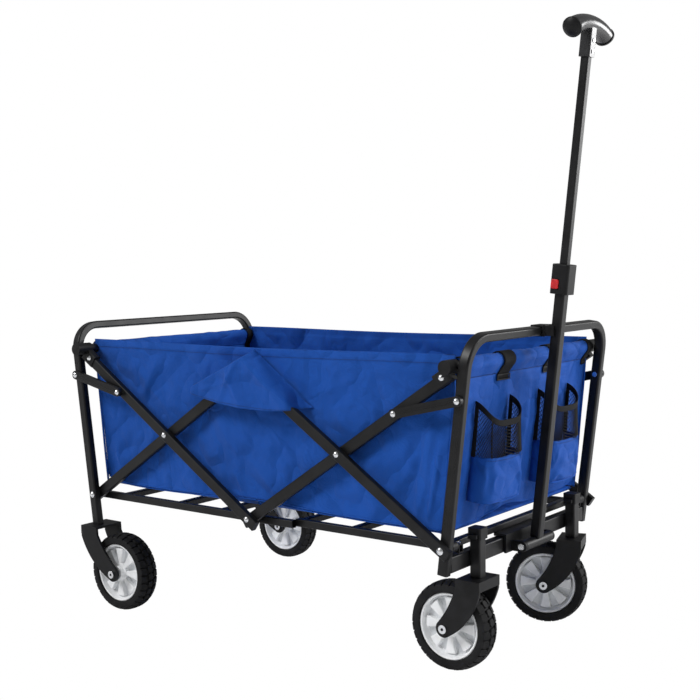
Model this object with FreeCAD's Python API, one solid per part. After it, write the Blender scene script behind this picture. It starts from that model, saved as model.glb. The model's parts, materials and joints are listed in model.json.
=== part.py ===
"""Folding pull-along wagon: two leaning end frames joined by a double scissor on each side.

Frame: +X forward (the handle end), +Y left, +Z up, millimetres.  The shapes are laid out about the
middle of the wheelbase and moved at the end, so that the origin is on the ground below the middle
of the whole object.  Every function returns the separate solids of one node.
"""
import FreeCAD
import Part
import math
import os
from FreeCAD import Vector

# ---- driving dimensions -------------------------------------------------------------------------
PIVOT_X = 418.0            # leg pivots, from the middle of the wagon
PIVOT_Z = 225.0            # height of the leg pivots and of the lowest scissor pivots
BAR_ANGLE = 33.4           # slope of the scissor bars when the wagon is open
LEG_TILT = 7.2             # outward lean of both end frames
TOP_BAR_Z = 566.0          # centre of the top bars
FRONT_LEG_FOOT_Z = 181.0
REAR_LEG_FOOT_Z = 165.0
LEG_DEPTH = 19.0           # end-frame tube, fore and aft
LEG_WIDTH = 15.0           # end-frame tube, across the wagon
BEND_RADIUS = 50.0
TUBE_WALL = 1.3

INNER_PLANE = (238.0, 250.0)     # rear rising and front falling bars
OUTER_PLANE = (250.4, 262.4)     # rear falling and front rising bars
FRONT_LEG_OUT = 250.0            # outer face of the front legs
REAR_LEG_OUT = 265.4             # outer face of the rear legs
BAR_WIDTH = 20.0
LINK_WIDTH = 17.0
LINK_THICK = 8.0
LINK_GAP = 0.4
FRONT_LINK_Y = (FRONT_LEG_OUT + LINK_GAP, FRONT_LEG_OUT + LINK_GAP + LINK_THICK)
REAR_LINK_Y = (REAR_LEG_OUT + LINK_GAP, REAR_LEG_OUT + LINK_GAP + LINK_THICK)

RAIL_ALONG = 273.0         # rail centre, along the falling bar from its crossing
RAIL_OFFSET = 9.5          # and above the bar's centre line
RAIL_RADIUS = 9.0
HUB_RADIUS = 12.0
FRONT_HUB_Y = (236.2, 266.0)
REAR_HUB_Y = (248.6, 284.0)
LINK_ALONG = 139.8         # link rivet, along the falling bar from its crossing
SOCKET_ALONG = 250.0       # socket rivet
LINK_LEG_Z = 468.0         # link rivet on the leg

RIVET_RADIUS = 4.0
RIVET_HEAD = 5.6
RIVET_DOME = 3.0
PIN_GAP = 0.05             # radial running clearance of every pin

WHEEL_RADIUS = 76.5
WHEEL_WIDTH = 42.0
RIM_RADIUS = 57.5
RIM_WALL = 4.0
AXLE_RADIUS = 5.0
FORK_HALF = 33.0           # outer faces of a fork's arms from its middle
FORK_PLATE = 5.0
REAR_WHEEL_Y = 252.0
REAR_AXLE_X = -PIVOT_X + 76.0
CASTER_X = PIVOT_X + 15.0
CASTER_Y = 170.0
CASTER_TRAIL = 48.0
SIDES = ("left", "right")
CASTER_TURN = {"left": 18.0, "right": 0.0}
STEM_RADIUS = 8.0
STEM_TOP = 228.0
FORK_TOP = 165.0
REAR_FORK_X = -PIVOT_X + 8.0
CASTER_TUBE = 20.0
CASTER_TUBE_Z = (165.4, 238.0)

BEAM_X = (PIVOT_X - 13.0, PIVOT_X + 5.0)
BEAM_Z = (183.0, 210.0)

BASE_RAIL_Z = (214.0, 228.0)
BASE_SLAT_Z = (216.0, 228.0)
REAR_RAIL_Y = (222.0, 234.0)
FRONT_RAIL_Y = (206.0, 218.0)
REAR_SLATS = (92.0, 206.0, PIVOT_X - 59.0)
FRONT_SLATS = (92.0, 206.0, PIVOT_X - 18.0)
REAR_RAIL_END = -85.0      # the rear half's rails run this far past the middle of the wagon
FRONT_RAIL_END = 80.0      # the front half's rails stop this far from the middle

FABRIC = 2.5
PANEL_BOTTOM = (PIVOT_X - 13.0, 248.0)
HEM_Z = 538.0
SIDE_PANEL_Y = 230.0
FLOOR_Z = (243.0, 247.0)
POCKET_Y = (45.0, 168.0)
POCKET_DEPTH = 44.0

HANDLE_HINGE = (BEAM_X[1] + 26.5, 193.7)
HANDLE_LEAN = 6.6
BARREL_HALF = 46.0
BARREL_RADIUS = 9.5
LOWER_TUBE = 19.0
UPPER_TUBE = 14.5
LOWER_TUBE_SPAN = (8.0, 445.0)     # distances along the handle from its hinge
COLLAR_SPAN = (438.0, 489.0)
UPPER_TUBE_SPAN = (385.0, 876.0)
SLEEVE_SPAN = (834.0, 876.0)
SLEEVE_WALL = 3.0
SLEEVE_SCREWS = (843.0, 861.0)
GRIP_ALONG = 889.0
GRIP_HALF = 58.0
GRIP_DROOP = 14.0
COLLAR = 33.0
BUTTON = (14.0, 16.0)
BUTTON_ALONG = 455.0
BUTTON_ACROSS = -6.5

# ---- places worked out from them ----------------------------------------------------------------
SLOPE = math.radians(BAR_ANGLE)
REAR_TRAIL = REAR_AXLE_X - REAR_FORK_X
TILT = math.radians(LEG_TILT)
LEAN = math.radians(HANDLE_LEAN)
HALF_BAR = PIVOT_X / 2 / math.cos(SLOPE)
CROSS_Z = PIVOT_Z + HALF_BAR * math.sin(SLOPE)
CROSS_X = PIVOT_X / 2
TOP_PIVOT_Z = PIVOT_Z + 2 * HALF_BAR * math.sin(SLOPE)


def along_bar(distance, offset=0.0):
    """Point (x, z) of the front falling bar, measured up from its crossing."""
    x = CROSS_X + distance * math.cos(SLOPE) - offset * math.sin(SLOPE)
    z = CROSS_Z + distance * math.sin(SLOPE) + offset * math.cos(SLOPE)
    return (x, z)


def leg_x(z):
    """Centre line of the front leg."""
    return PIVOT_X + (z - PIVOT_Z) * math.tan(TILT)


RAIL = along_bar(RAIL_ALONG, RAIL_OFFSET)
LINK_ON_BAR = along_bar(LINK_ALONG)
LINK_ON_LEG = (leg_x(LINK_LEG_Z), LINK_LEG_Z)
SOCKET_RIVET = along_bar(SOCKET_ALONG, 3.0)
PANEL_TILT = math.atan2(RAIL[0] - PANEL_BOTTOM[0], RAIL[1] - PANEL_BOTTOM[1])
PANEL_LENGTH = math.hypot(RAIL[0] - PANEL_BOTTOM[0], RAIL[1] - PANEL_BOTTOM[1])


# ---- general shapes -----------------------------------------------------------------------------
def block(xs, ys, zs):
    return Part.makeBox(xs[1] - xs[0], ys[1] - ys[0], zs[1] - zs[0], Vector(xs[0], ys[0], zs[0]))


def rod(start, end, radius):
    a = Vector(*start)
    b = Vector(*end)
    return Part.makeCylinder(radius, (b - a).Length, a, b - a)


def rod_y(point, ys, radius):
    """Cylinder along Y through the point (x, z)."""
    return rod((point[0], ys[0], point[1]), (point[0], ys[1], point[1]), radius)


def mirror_y(shape):
    return shape.mirror(Vector(0, 0, 0), Vector(0, 1, 0))


def mirror_x(shape):
    return shape.mirror(Vector(0, 0, 0), Vector(1, 0, 0))


def both(shapes):
    """The given left-hand solids and their right-hand twins."""
    return list(shapes) + [mirror_y(s) for s in shapes]


def rounded_wire(centre, u, v, width, height, radius):
    """Rounded rectangle about the centre, width along u and height along v."""
    w = width / 2 - radius
    h = height / 2 - radius
    k = radius * math.sqrt(0.5)
    edges = []
    corners = [(w, h, 1, 1), (-w, h, -1, 1), (-w, -h, -1, -1), (w, -h, 1, -1)]
    ends = []
    for index, (a, b, sa, sb) in enumerate(corners):
        first = centre + u * (a + sa * radius) + v * b
        middle = centre + u * (a + sa * k) + v * (b + sb * k)
        last = centre + u * a + v * (b + sb * radius)
        if index % 2:
            first, last = last, first
        edges.append(Part.Arc(first, middle, last).toShape())
        ends.append((first, last))
    wires = []
    for index in range(4):
        wires.append(edges[index])
        wires.append(Part.makeLine(ends[index][1], ends[(index + 1) % 4][0]))
    return Part.Wire(wires)


def square_tube(start, end, u, width, depth, wall, radius):
    """Straight hollow tube; width is along u, which is square to the run."""
    run = end - start
    v = run.cross(u).normalize()
    outer = Part.Face(rounded_wire(start, u, v, width, depth, radius)).extrude(run)
    bore_radius = max(radius - wall, 0.4)
    inner = rounded_wire(start, u, v, width - 2 * wall, depth - 2 * wall, bore_radius)
    return outer.cut(Part.Face(inner).extrude(run))


def turned_y(point, outline, crown=None):
    """Solid of revolution about the Y axis through the point (x, z), from an outline of (radius, y).

    The outline starts and ends on the axis.  With crown, it ends in a spherical cap up to that y.
    """
    corners = [Vector(point[0] + r, y, point[1]) for r, y in outline]
    edges = [Part.makeLine(a, b) for a, b in zip(corners, corners[1:])]
    if crown is not None:
        radius, base = outline[-1]
        height = crown - base
        sphere = (radius ** 2 + height ** 2) / (2 * height)
        half = math.asin(radius / sphere) / 2
        middle = Vector(point[0] + sphere * math.sin(half), crown - sphere * (1 - math.cos(half)), point[1])
        corners.append(Vector(point[0], crown, point[1]))
        edges.append(Part.Arc(corners[-2], middle, corners[-1]).toShape())
    edges.append(Part.makeLine(corners[-1], corners[0]))
    face = Part.Face(Part.Wire(edges))
    solid = face.revolve(Vector(point[0], 0, point[1]), Vector(0, 1, 0), 360.0)
    return solid.reversed() if solid.Volume < 0 else solid


def rivet(point, ys, radius=RIVET_RADIUS, head=RIVET_HEAD, inner_head=1.6, stand_off=0.0):
    """Rivet along Y with a domed head outboard at ys[1]; inboard a flat tail, or a stand-off collar."""
    tail = head - 0.8 if inner_head else radius
    outline = [(0.0, ys[0] - inner_head), (tail, ys[0] - inner_head), (tail, ys[0] + stand_off)]
    outline += [(radius, ys[0] + stand_off), (radius, ys[1]), (head, ys[1])]
    if not inner_head and not stand_off:
        outline = [(0.0, ys[0]), (radius, ys[0]), (radius, ys[1]), (head, ys[1])]
    elif stand_off:
        outline = [(0.0, ys[0]), (head, ys[0]), (head, ys[0] + stand_off), (radius, ys[0] + stand_off)]
        outline += [(radius, ys[1]), (head, ys[1])]
    return turned_y(point, outline, ys[1] + RIVET_DOME)


def flat_bar(start, end, ys, extend, width=BAR_WIDTH, wall=TUBE_WALL):
    """Scissor bar in one plane, from (x, z) to (x, z), run past both points by the two extensions."""
    run = Vector(end[0] - start[0], 0, end[1] - start[1]).normalize()
    middle = (ys[0] + ys[1]) / 2
    a = Vector(start[0], middle, start[1]) - run * extend[0]
    b = Vector(end[0], middle, end[1]) + run * extend[1]
    return square_tube(a, b, Vector(0, 1, 0), ys[1] - ys[0], width, wall, 2.5)


def drilled(shape, points, ys, radius):
    for point in points:
        shape = shape.cut(rod_y(point, (ys[0] - 1, ys[1] + 1), radius))
    return shape


def flip(point):
    return (-point[0], point[1])


def filled_outline(points, ys):
    """Plate in an XZ outline made of straight edges."""
    corners = [Vector(x, ys[0], z) for x, z in points]
    face = Part.Face(Part.makePolygon(corners + corners[:1]))
    return face.extrude(Vector(0, ys[1] - ys[0], 0))


# ---- end frames ---------------------------------------------------------------------------------
def end_frame(outer_y, foot_z):
    """Leaning inverted U of one bent tube, drawn at the front."""
    centre_y = outer_y - LEG_WIDTH / 2
    up = Vector(math.sin(TILT), 0, math.cos(TILT))
    normal = Vector(math.cos(TILT), 0, -math.sin(TILT))
    foot = (foot_z - PIVOT_Z) / math.cos(TILT)
    top = (TOP_BAR_Z - PIVOT_Z) / math.cos(TILT)

    def place(y, height):
        return Vector(PIVOT_X, y, PIVOT_Z) + up * height

    bend = centre_y - BEND_RADIUS
    knee = BEND_RADIUS * math.sqrt(0.5)
    path = [
        Part.makeLine(place(-centre_y, foot), place(-centre_y, top - BEND_RADIUS)),
        Part.Arc(
            place(-centre_y, top - BEND_RADIUS),
            place(-bend - knee, top - BEND_RADIUS + knee),
            place(-bend, top),
        ).toShape(),
        Part.makeLine(place(-bend, top), place(bend, top)),
        Part.Arc(
            place(bend, top),
            place(bend + knee, top - BEND_RADIUS + knee),
            place(centre_y, top - BEND_RADIUS),
        ).toShape(),
        Part.makeLine(place(centre_y, top - BEND_RADIUS), place(centre_y, foot)),
    ]
    spine = Part.Wire(path)
    across = Vector(0, 1, 0)
    start = place(-centre_y, foot)
    outer = rounded_wire(start, across, normal, LEG_WIDTH, LEG_DEPTH, 3.5)
    inner = rounded_wire(
        start, across, normal, LEG_WIDTH - 2 * TUBE_WALL, LEG_DEPTH - 2 * TUBE_WALL, 2.2
    )
    tube = spine.makePipeShell([outer], True, False)
    bore = spine.makePipeShell([inner], True, False)
    return tube.cut(bore)


def leg_pins(tube, outer_y):
    """Holes for the leg pivots and the link rivets, tight on their pins."""
    band = (outer_y - LEG_WIDTH, outer_y)
    for point in ((PIVOT_X, PIVOT_Z), LINK_ON_LEG):
        for ys in (band, (-band[1], -band[0])):
            tube = drilled(tube, [point], ys, RIVET_RADIUS)
    return tube


def front_end_tube():
    return [leg_pins(end_frame(FRONT_LEG_OUT, FRONT_LEG_FOOT_Z), FRONT_LEG_OUT)]


def rear_end_tube():
    """The rear feet are cut level, so that they stand flat on the forks' crowns."""
    tube = leg_pins(end_frame(REAR_LEG_OUT, REAR_LEG_FOOT_Z - 4.0), REAR_LEG_OUT)
    below = block((0, 2 * PIVOT_X), (-REAR_LEG_OUT - 5, REAR_LEG_OUT + 5), (0, REAR_LEG_FOOT_Z))
    return [mirror_x(tube.cut(below))]


def pivot_bolt(x, ys):
    """Long bolt through leg, bar, spacer and base rail, with a domed head outboard."""
    return rivet((x, PIVOT_Z), ys, RIVET_RADIUS, RIVET_HEAD + 0.8)


def rear_pivot_bolts():
    return both([pivot_bolt(-PIVOT_X, (REAR_RAIL_Y[0] - 0.4, REAR_LEG_OUT))])


def front_pivot_bolts():
    return both([pivot_bolt(PIVOT_X, (FRONT_RAIL_Y[0] - 0.4, OUTER_PLANE[1] + 0.4))])


def spacer(x, ys):
    ring = rod_y((x, PIVOT_Z), ys, 9.0)
    return ring.cut(rod_y((x, PIVOT_Z), ys, RIVET_RADIUS))


def rear_spacers():
    return both([spacer(-PIVOT_X, (REAR_RAIL_Y[1] + 0.4, INNER_PLANE[0] - 0.4))])


def front_spacers():
    return both([spacer(PIVOT_X, (FRONT_RAIL_Y[1] + 0.4, FRONT_LEG_OUT - LEG_WIDTH))])


# ---- scissor bars -------------------------------------------------------------------------------
def falling_bar(ys):
    """From the rail socket down past the crossing to the lowest pivot, drawn at the front."""
    bar = flat_bar((0.0, PIVOT_Z), along_bar(262.0), ys, (18.0, 0.0))
    bar = drilled(bar, [along_bar(SOCKET_ALONG, 3.0)], ys, RIVET_RADIUS)
    return bar


def rising_bar(ys):
    """From the leg pivot up past the crossing to the top pivot, drawn at the front."""
    return flat_bar((PIVOT_X, PIVOT_Z), (0.0, TOP_PIVOT_Z), ys, (13.0, 13.0))


def front_falling_bar():
    bar = drilled(falling_bar(INNER_PLANE), [(CROSS_X, CROSS_Z)], INNER_PLANE, RIVET_RADIUS + PIN_GAP)
    return drilled(bar, [(0.0, PIVOT_Z)], INNER_PLANE, RIVET_RADIUS + PIN_GAP)


def rear_falling_bar():
    bar = mirror_x(falling_bar(OUTER_PLANE))
    return drilled(bar, [(-CROSS_X, CROSS_Z), (0.0, PIVOT_Z)], OUTER_PLANE, RIVET_RADIUS)


def front_rising_bar():
    bar = rising_bar(OUTER_PLANE)
    bar = drilled(bar, [(CROSS_X, CROSS_Z), (0.0, TOP_PIVOT_Z)], OUTER_PLANE, RIVET_RADIUS)
    return drilled(bar, [(PIVOT_X, PIVOT_Z)], OUTER_PLANE, RIVET_RADIUS + PIN_GAP)


def rear_rising_bar():
    bar = mirror_x(rising_bar(INNER_PLANE))
    holes = [(-CROSS_X, CROSS_Z), (0.0, TOP_PIVOT_Z), (-PIVOT_X, PIVOT_Z)]
    return drilled(bar, holes, INNER_PLANE, RIVET_RADIUS + PIN_GAP)


def scissor_rivets(points):
    """Rivets through both planes of bars."""
    span = (INNER_PLANE[0] - 0.4, OUTER_PLANE[1])
    return both([rivet(point, span) for point in points])


def rear_bar_rivets():
    return scissor_rivets([(-CROSS_X, CROSS_Z), (0.0, PIVOT_Z)])


def front_bar_rivets():
    return scissor_rivets([(CROSS_X, CROSS_Z), (0.0, TOP_PIVOT_Z)])


def bar_end_cap(point, direction, ys):
    """Plastic plug in the end of a bar, showing as a thin rounded lip."""
    run = Vector(direction[0], 0, direction[1]).normalize()
    middle = (ys[0] + ys[1]) / 2
    start = Vector(point[0], middle, point[1])
    u = Vector(0, 1, 0)
    v = run.cross(u).normalize()
    lip = Part.Face(rounded_wire(start, u, v, ys[1] - ys[0], BAR_WIDTH, 2.5)).extrude(run * 3.0)
    depth = ys[1] - ys[0] - 2 * TUBE_WALL
    tongue = rounded_wire(start, u, v, depth, BAR_WIDTH - 2 * TUBE_WALL, 1.2)
    return lip.fuse(Part.Face(tongue).extrude(run * -8.0))


def lowest_cap(ys, side):
    """Cap on the lower end of a falling bar; side is 1 for the front bar, -1 for the rear bar."""
    x = -18.0 * math.cos(SLOPE)
    z = PIVOT_Z - 18.0 * math.sin(SLOPE)
    return bar_end_cap((side * x, z), (-side * math.cos(SLOPE), -math.sin(SLOPE)), ys)


def foot_cap(ys, side):
    """Cap on the lower end of a rising bar."""
    x = PIVOT_X + 13.0 * math.cos(SLOPE)
    z = PIVOT_Z - 13.0 * math.sin(SLOPE)
    return bar_end_cap((side * x, z), (side * math.cos(SLOPE), -math.sin(SLOPE)), ys)


def rail_socket(bar_ys, hub_ys):
    """Plastic socket on the upper end of a falling bar, with a hub that holds the rail."""
    run = Vector(math.cos(SLOPE), 0, math.sin(SLOPE))
    low = along_bar(236.0, 2.0)
    neck_ys = (bar_ys[0] - 1.8, bar_ys[1] + 1.8)
    middle = (neck_ys[0] + neck_ys[1]) / 2
    start = Vector(low[0], middle, low[1])
    u = Vector(0, 1, 0)
    v = run.cross(u).normalize()
    neck = Part.Face(rounded_wire(start, u, v, neck_ys[1] - neck_ys[0], 25.0, 3.0)).extrude(run * 32.0)
    hub = rod_y(RAIL, hub_ys, HUB_RADIUS)
    socket = neck.fuse(hub)
    bar = Part.Face(
        rounded_wire(Vector(along_bar(200.0)[0], (bar_ys[0] + bar_ys[1]) / 2, along_bar(200.0)[1]),
                     u, v, bar_ys[1] - bar_ys[0], BAR_WIDTH, 2.5)
    ).extrude(run * 62.0)
    socket = socket.cut(bar)
    socket = socket.cut(rod_y(RAIL, (0.0, hub_ys[1] - 4.0), RAIL_RADIUS + PIN_GAP))
    return socket.cut(rod_y(SOCKET_RIVET, (neck_ys[0] - 1, neck_ys[1] + 1), RIVET_RADIUS))


def front_rail_sockets():
    return both([rail_socket(INNER_PLANE, FRONT_HUB_Y)])


def rear_rail_sockets():
    return both([mirror_x(rail_socket(OUTER_PLANE, REAR_HUB_Y))])


def front_socket_rivets():
    return both([rivet(SOCKET_RIVET, (INNER_PLANE[0] - 1.8, INNER_PLANE[1] + 1.8))])


def rear_socket_rivets():
    return both([rivet(flip(SOCKET_RIVET), (OUTER_PLANE[0] - 1.8, OUTER_PLANE[1] + 1.8))])


def rail_tube(hub_ys):
    """Cross tube that carries an end of the fabric tub."""
    reach = hub_ys[1] - 4.4
    outer = rod_y(RAIL, (-reach, reach), RAIL_RADIUS)
    return outer.cut(rod_y(RAIL, (-reach, reach), RAIL_RADIUS - TUBE_WALL))


# ---- links --------------------------------------------------------------------------------------
def link(leg_point, bar_point, ys):
    """Pressed channel from the leg to the falling bar, with round ends."""
    run = Vector(bar_point[0] - leg_point[0], 0, bar_point[1] - leg_point[1])
    v = Vector(-run.z, 0, run.x).normalize() * (LINK_WIDTH / 2)
    a = Vector(leg_point[0], ys[0], leg_point[1])
    b = Vector(bar_point[0], ys[0], bar_point[1])
    face = Part.Face(Part.makePolygon([a + v, b + v, b - v, a - v, a + v]))
    body = face.extrude(Vector(0, ys[1] - ys[0], 0))
    for point in (leg_point, bar_point):
        body = body.fuse(rod_y(point, ys, LINK_WIDTH / 2))
    hollow = Part.Face(Part.makePolygon([
        a + v * 0.8 + run * 0.12, b + v * 0.8 - run * 0.12,
        b - v * 0.8 - run * 0.12, a - v * 0.8 + run * 0.12, a + v * 0.8 + run * 0.12,
    ])).extrude(Vector(0, ys[1] - ys[0] - 1.6, 0))
    body = body.removeSplitter().cut(hollow)
    body = drilled(body, [leg_point], ys, RIVET_RADIUS + PIN_GAP)
    return drilled(body, [bar_point], ys, RIVET_RADIUS)


def front_links():
    return both([link(LINK_ON_LEG, LINK_ON_BAR, FRONT_LINK_Y)])


def rear_links():
    return both([link(flip(LINK_ON_LEG), flip(LINK_ON_BAR), REAR_LINK_Y)])


def leg_link_rivet(point, outer_y, link_ys):
    return rivet(point, (outer_y - LEG_WIDTH - 0.4, link_ys[1] + 0.4))


def bar_link_rivet(point, bar_out, link_ys):
    """Rivet of a link's far end; it stands off the falling bar's outer face where there is a gap."""
    gap = link_ys[0] - bar_out
    if gap < 1.0:
        return rivet(point, link_ys, inner_head=0.0)
    return rivet(point, (bar_out + 0.3, link_ys[1]), inner_head=0.0, stand_off=gap - 0.3)


def front_leg_link_rivets():
    return both([leg_link_rivet(LINK_ON_LEG, FRONT_LEG_OUT, FRONT_LINK_Y)])


def rear_leg_link_rivets():
    return both([leg_link_rivet(flip(LINK_ON_LEG), REAR_LEG_OUT, REAR_LINK_Y)])


def front_bar_link_rivets():
    return both([bar_link_rivet(LINK_ON_BAR, INNER_PLANE[1], FRONT_LINK_Y)])


def rear_bar_link_rivets():
    return both([bar_link_rivet(flip(LINK_ON_BAR), OUTER_PLANE[1], REAR_LINK_Y)])


# ---- wheels and forks ---------------------------------------------------------------------------
def revolve_y(profile, turn=360.0):
    """Solid of revolution about the Y axis from an outline of (radius, y)."""
    corners = [Vector(r, y, 0) for r, y in profile]
    face = Part.Face(Part.makePolygon(corners + corners[:1]))
    return face.revolve(Vector(0, 0, 0), Vector(0, 1, 0), turn)


def tyre():
    """Solid tyre with a domed crown, shoulders and shallow chunky tread across its edges."""
    w = WHEEL_WIDTH / 2
    wall, shoulder, crown = WHEEL_RADIUS - 8.0, WHEEL_RADIUS - 3.0, WHEEL_RADIUS - 0.6
    ring = revolve_y([
        (RIM_RADIUS, -w + 4), (RIM_RADIUS + 4, -w), (wall, -w + 0.5), (shoulder, -w + 4.5),
        (crown, -w + 11), (WHEEL_RADIUS, -5), (WHEEL_RADIUS, 5), (crown, w - 11),
        (shoulder, w - 4.5), (wall, w - 0.5), (RIM_RADIUS + 4, w), (RIM_RADIUS, w - 4),
    ])
    lugs = 24
    for index in range(lugs):
        for side in (-1, 1):
            angle = 360.0 / lugs * (index + 0.25 * side)
            notch = Part.makeBox(6.0, 12.0, 5.0, Vector(WHEEL_RADIUS - 5.2, 10.5 if side > 0 else -22.5, -2.5))
            notch.rotate(Vector(0, 0, 0), Vector(0, 1, 0), angle)
            ring = ring.cut(notch)
    return ring


def rim():
    """Moulded wheel centre: a deep rim ring, a thin web, a hub and eight broad wedge blades."""
    w = WHEEL_WIDTH / 2
    bed = RIM_RADIUS - RIM_WALL
    ring = revolve_y([(bed, -w + 3), (RIM_RADIUS, -w + 3), (RIM_RADIUS, w - 3), (bed, w - 3)])
    web = revolve_y([(AXLE_RADIUS + PIN_GAP, -3), (bed + 0.5, -3), (bed + 0.5, 3), (AXLE_RADIUS + PIN_GAP, 3)])
    hub = revolve_y([
        (AXLE_RADIUS + PIN_GAP, -w - 1), (14.0, -w - 1), (17.0, -3), (17.0, 3),
        (14.0, w + 1), (AXLE_RADIUS + PIN_GAP, w + 1),
    ])
    blades = []
    count = 8
    for index in range(count):
        for side in (-1, 1):
            depth = (3.0, 14.0) if side > 0 else (-14.0, -3.0)
            start = math.radians(360.0 / count * index)
            end = math.radians(360.0 / count * (index + 0.5))
            corners = []
            for radius, angle in ((15.0, start), (48.0, start), (48.0, end), (15.0, end)):
                corners.append(Vector(radius * math.cos(angle), depth[0], radius * math.sin(angle)))
            face = Part.Face(Part.makePolygon(corners + corners[:1]))
            blades.append(face.extrude(Vector(0, depth[1] - depth[0], 0)))
    return ring.fuse([web, hub] + blades).removeSplitter()


def fork_arm(ys, trail, top):
    """Swept-back arm ending in a round boss about the axle; stem axis at x = 0."""
    boss = 15.0
    axle = Vector(-trail, ys[0], WHEEL_RADIUS)

    def at(x, z):
        return Vector(x, ys[0], z)

    low = axle + Vector(math.cos(math.radians(-52)), 0, math.sin(math.radians(-52))) * boss
    high = axle + Vector(math.cos(math.radians(132)), 0, math.sin(math.radians(132))) * boss
    back = axle + Vector(math.cos(math.radians(220)), 0, math.sin(math.radians(220))) * boss
    front_top = at(22.0, top)
    front_low = at(21.0, top - 22.0)
    rear_top = at(-24.0, top)
    rear_low = at(-25.0, top - 16.0)
    front_bend = at(0.38 * (front_low.x + low.x) + 6.0, 0.5 * (front_low.z + low.z) - 5.0)
    rear_bend = at(0.5 * (high.x + rear_low.x) + 3.0, 0.5 * (high.z + rear_low.z) - 2.0)
    edges = [
        Part.makeLine(rear_top, front_top),
        Part.makeLine(front_top, front_low),
        Part.Arc(front_low, front_bend, low).toShape(),
        Part.Arc(low, back, high).toShape(),
        Part.Arc(high, rear_bend, rear_low).toShape(),
        Part.makeLine(rear_low, rear_top),
    ]
    plate = Part.Face(Part.Wire(edges)).extrude(Vector(0, ys[1] - ys[0], 0))
    return plate.cut(rod_y((-trail, WHEEL_RADIUS), ys, AXLE_RADIUS))


def fork(trail, top):
    """Fork with two arms, a crown plate and a front flange; stem axis at x = y = 0."""
    arm = fork_arm((FORK_HALF - FORK_PLATE, FORK_HALF), trail, top)
    crown = block((-24.0, 22.0), (-FORK_HALF, FORK_HALF), (top - 4.0, top))
    flange = block((18.0, 22.0), (-FORK_HALF, FORK_HALF), (top - 17.0, top))
    return crown.fuse([arm, mirror_y(arm), flange]).removeSplitter()


def axle_bolt(trail):
    """Axle bolt with a domed head and a nut, in its fork's frame."""
    point = (-trail, WHEEL_RADIUS)
    outline = [(0.0, -FORK_HALF - 4.5), (7.5, -FORK_HALF - 4.5), (7.5, -FORK_HALF)]
    outline += [(AXLE_RADIUS, -FORK_HALF), (AXLE_RADIUS, FORK_HALF), (8.0, FORK_HALF)]
    return turned_y(point, outline, FORK_HALF + 4.0)


def caster_stem():
    """Stem riveted into the crown of a caster's fork."""
    return rod((0, 0, FORK_TOP - 4.0), (0, 0, STEM_TOP), STEM_RADIUS)


def caster_place(shape, side):
    """Turn a caster piece to its resting angle and set it below its tube."""
    shape = shape.copy()
    shape.rotate(Vector(0, 0, 0), Vector(0, 0, 1), CASTER_TURN[side])
    shape.translate(Vector(CASTER_X, CASTER_Y if side == "left" else -CASTER_Y, 0))
    return shape


def wheel_on(shape, trail):
    shape = shape.copy()
    shape.translate(Vector(-trail, 0, WHEEL_RADIUS))
    return shape


def rear_place(shape, side):
    """Rear forks are fixed and reach forward from under the legs."""
    shape = mirror_x(shape)
    sign = 1 if side == "left" else -1
    shape.translate(Vector(REAR_FORK_X, sign * REAR_WHEEL_Y, 0))
    return shape


# ---- front cross members ------------------------------------------------------------------------
def front_beam():
    """Rectangular tube between the front legs."""
    half = FRONT_LEG_OUT - LEG_WIDTH
    middle = Vector(sum(BEAM_X) / 2, -half, sum(BEAM_Z) / 2)
    return [square_tube(middle, middle + Vector(0, 2 * half, 0), Vector(1, 0, 0),
                        BEAM_X[1] - BEAM_X[0], BEAM_Z[1] - BEAM_Z[0], 1.5, 2.5)]


def caster_tubes():
    """Square uprights welded to the beam's front face, bored for the caster stems."""
    half = CASTER_TUBE / 2
    outer = block((CASTER_X - half, CASTER_X + half), (CASTER_Y - half, CASTER_Y + half), CASTER_TUBE_Z)
    outer = outer.makeFillet(2.5, [e for e in outer.Edges if abs(e.tangentAt(0).z) > 0.9])
    bore = rod((CASTER_X, CASTER_Y, 0), (CASTER_X, CASTER_Y, 232.0), STEM_RADIUS + PIN_GAP)
    return both([outer.cut(bore)])


def caster_tube_caps():
    """Plastic caps on the uprights, with a tab each side and a rest for the base's front bar."""
    low, high = CASTER_TUBE_Z[1] - 8.0, 249.0
    cap = block((CASTER_X - 12.5, CASTER_X + 12.5), (CASTER_Y - 12.5, CASTER_Y + 12.5), (low, high))
    cap = cap.makeFillet(3.0, [e for e in cap.Edges if abs(e.tangentAt(0).z) > 0.9])
    tab = block((CASTER_X - 8.0, CASTER_X + 8.0), (CASTER_Y - 18.5, CASTER_Y + 18.5), (low + 3.0, low + 9.0))
    half = CASTER_TUBE / 2
    tube = block((CASTER_X - half, CASTER_X + half), (CASTER_Y - half, CASTER_Y + half), (0, CASTER_TUBE_Z[1]))
    return both([cap.fuse(tab).cut(tube).removeSplitter()])


def handle_bracket():
    """Saddle over the beam with two ears that hold the handle's hinge bolt."""
    plate = block((BEAM_X[1], BEAM_X[1] + 5.0), (-68.0, 68.0), (BEAM_Z[0] - 1.0, BEAM_Z[1] + 5.0))
    lip = block((BEAM_X[0] - 2.0, BEAM_X[1] + 5.0), (-68.0, 68.0), (BEAM_Z[1], BEAM_Z[1] + 5.0))
    ears = []
    x, z = HANDLE_HINGE
    for side in (-1, 1):
        ys = sorted((side * (BARREL_HALF + 0.4), side * (BARREL_HALF + 6.4)))
        ear = block((BEAM_X[1], x), ys, (z - BARREL_RADIUS, z + BARREL_RADIUS))
        ear = ear.fuse(rod_y((x, z), ys, BARREL_RADIUS))
        ears.append(ear)
    body = plate.fuse([lip] + ears).removeSplitter()
    return [body.cut(rod_y((x, z), (-70, 70), RIVET_RADIUS))]


def handle_pivot_bolt():
    reach = BARREL_HALF + 6.4
    return [rivet(HANDLE_HINGE, (-reach, reach), head=6.5, inner_head=3.0)]


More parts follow.
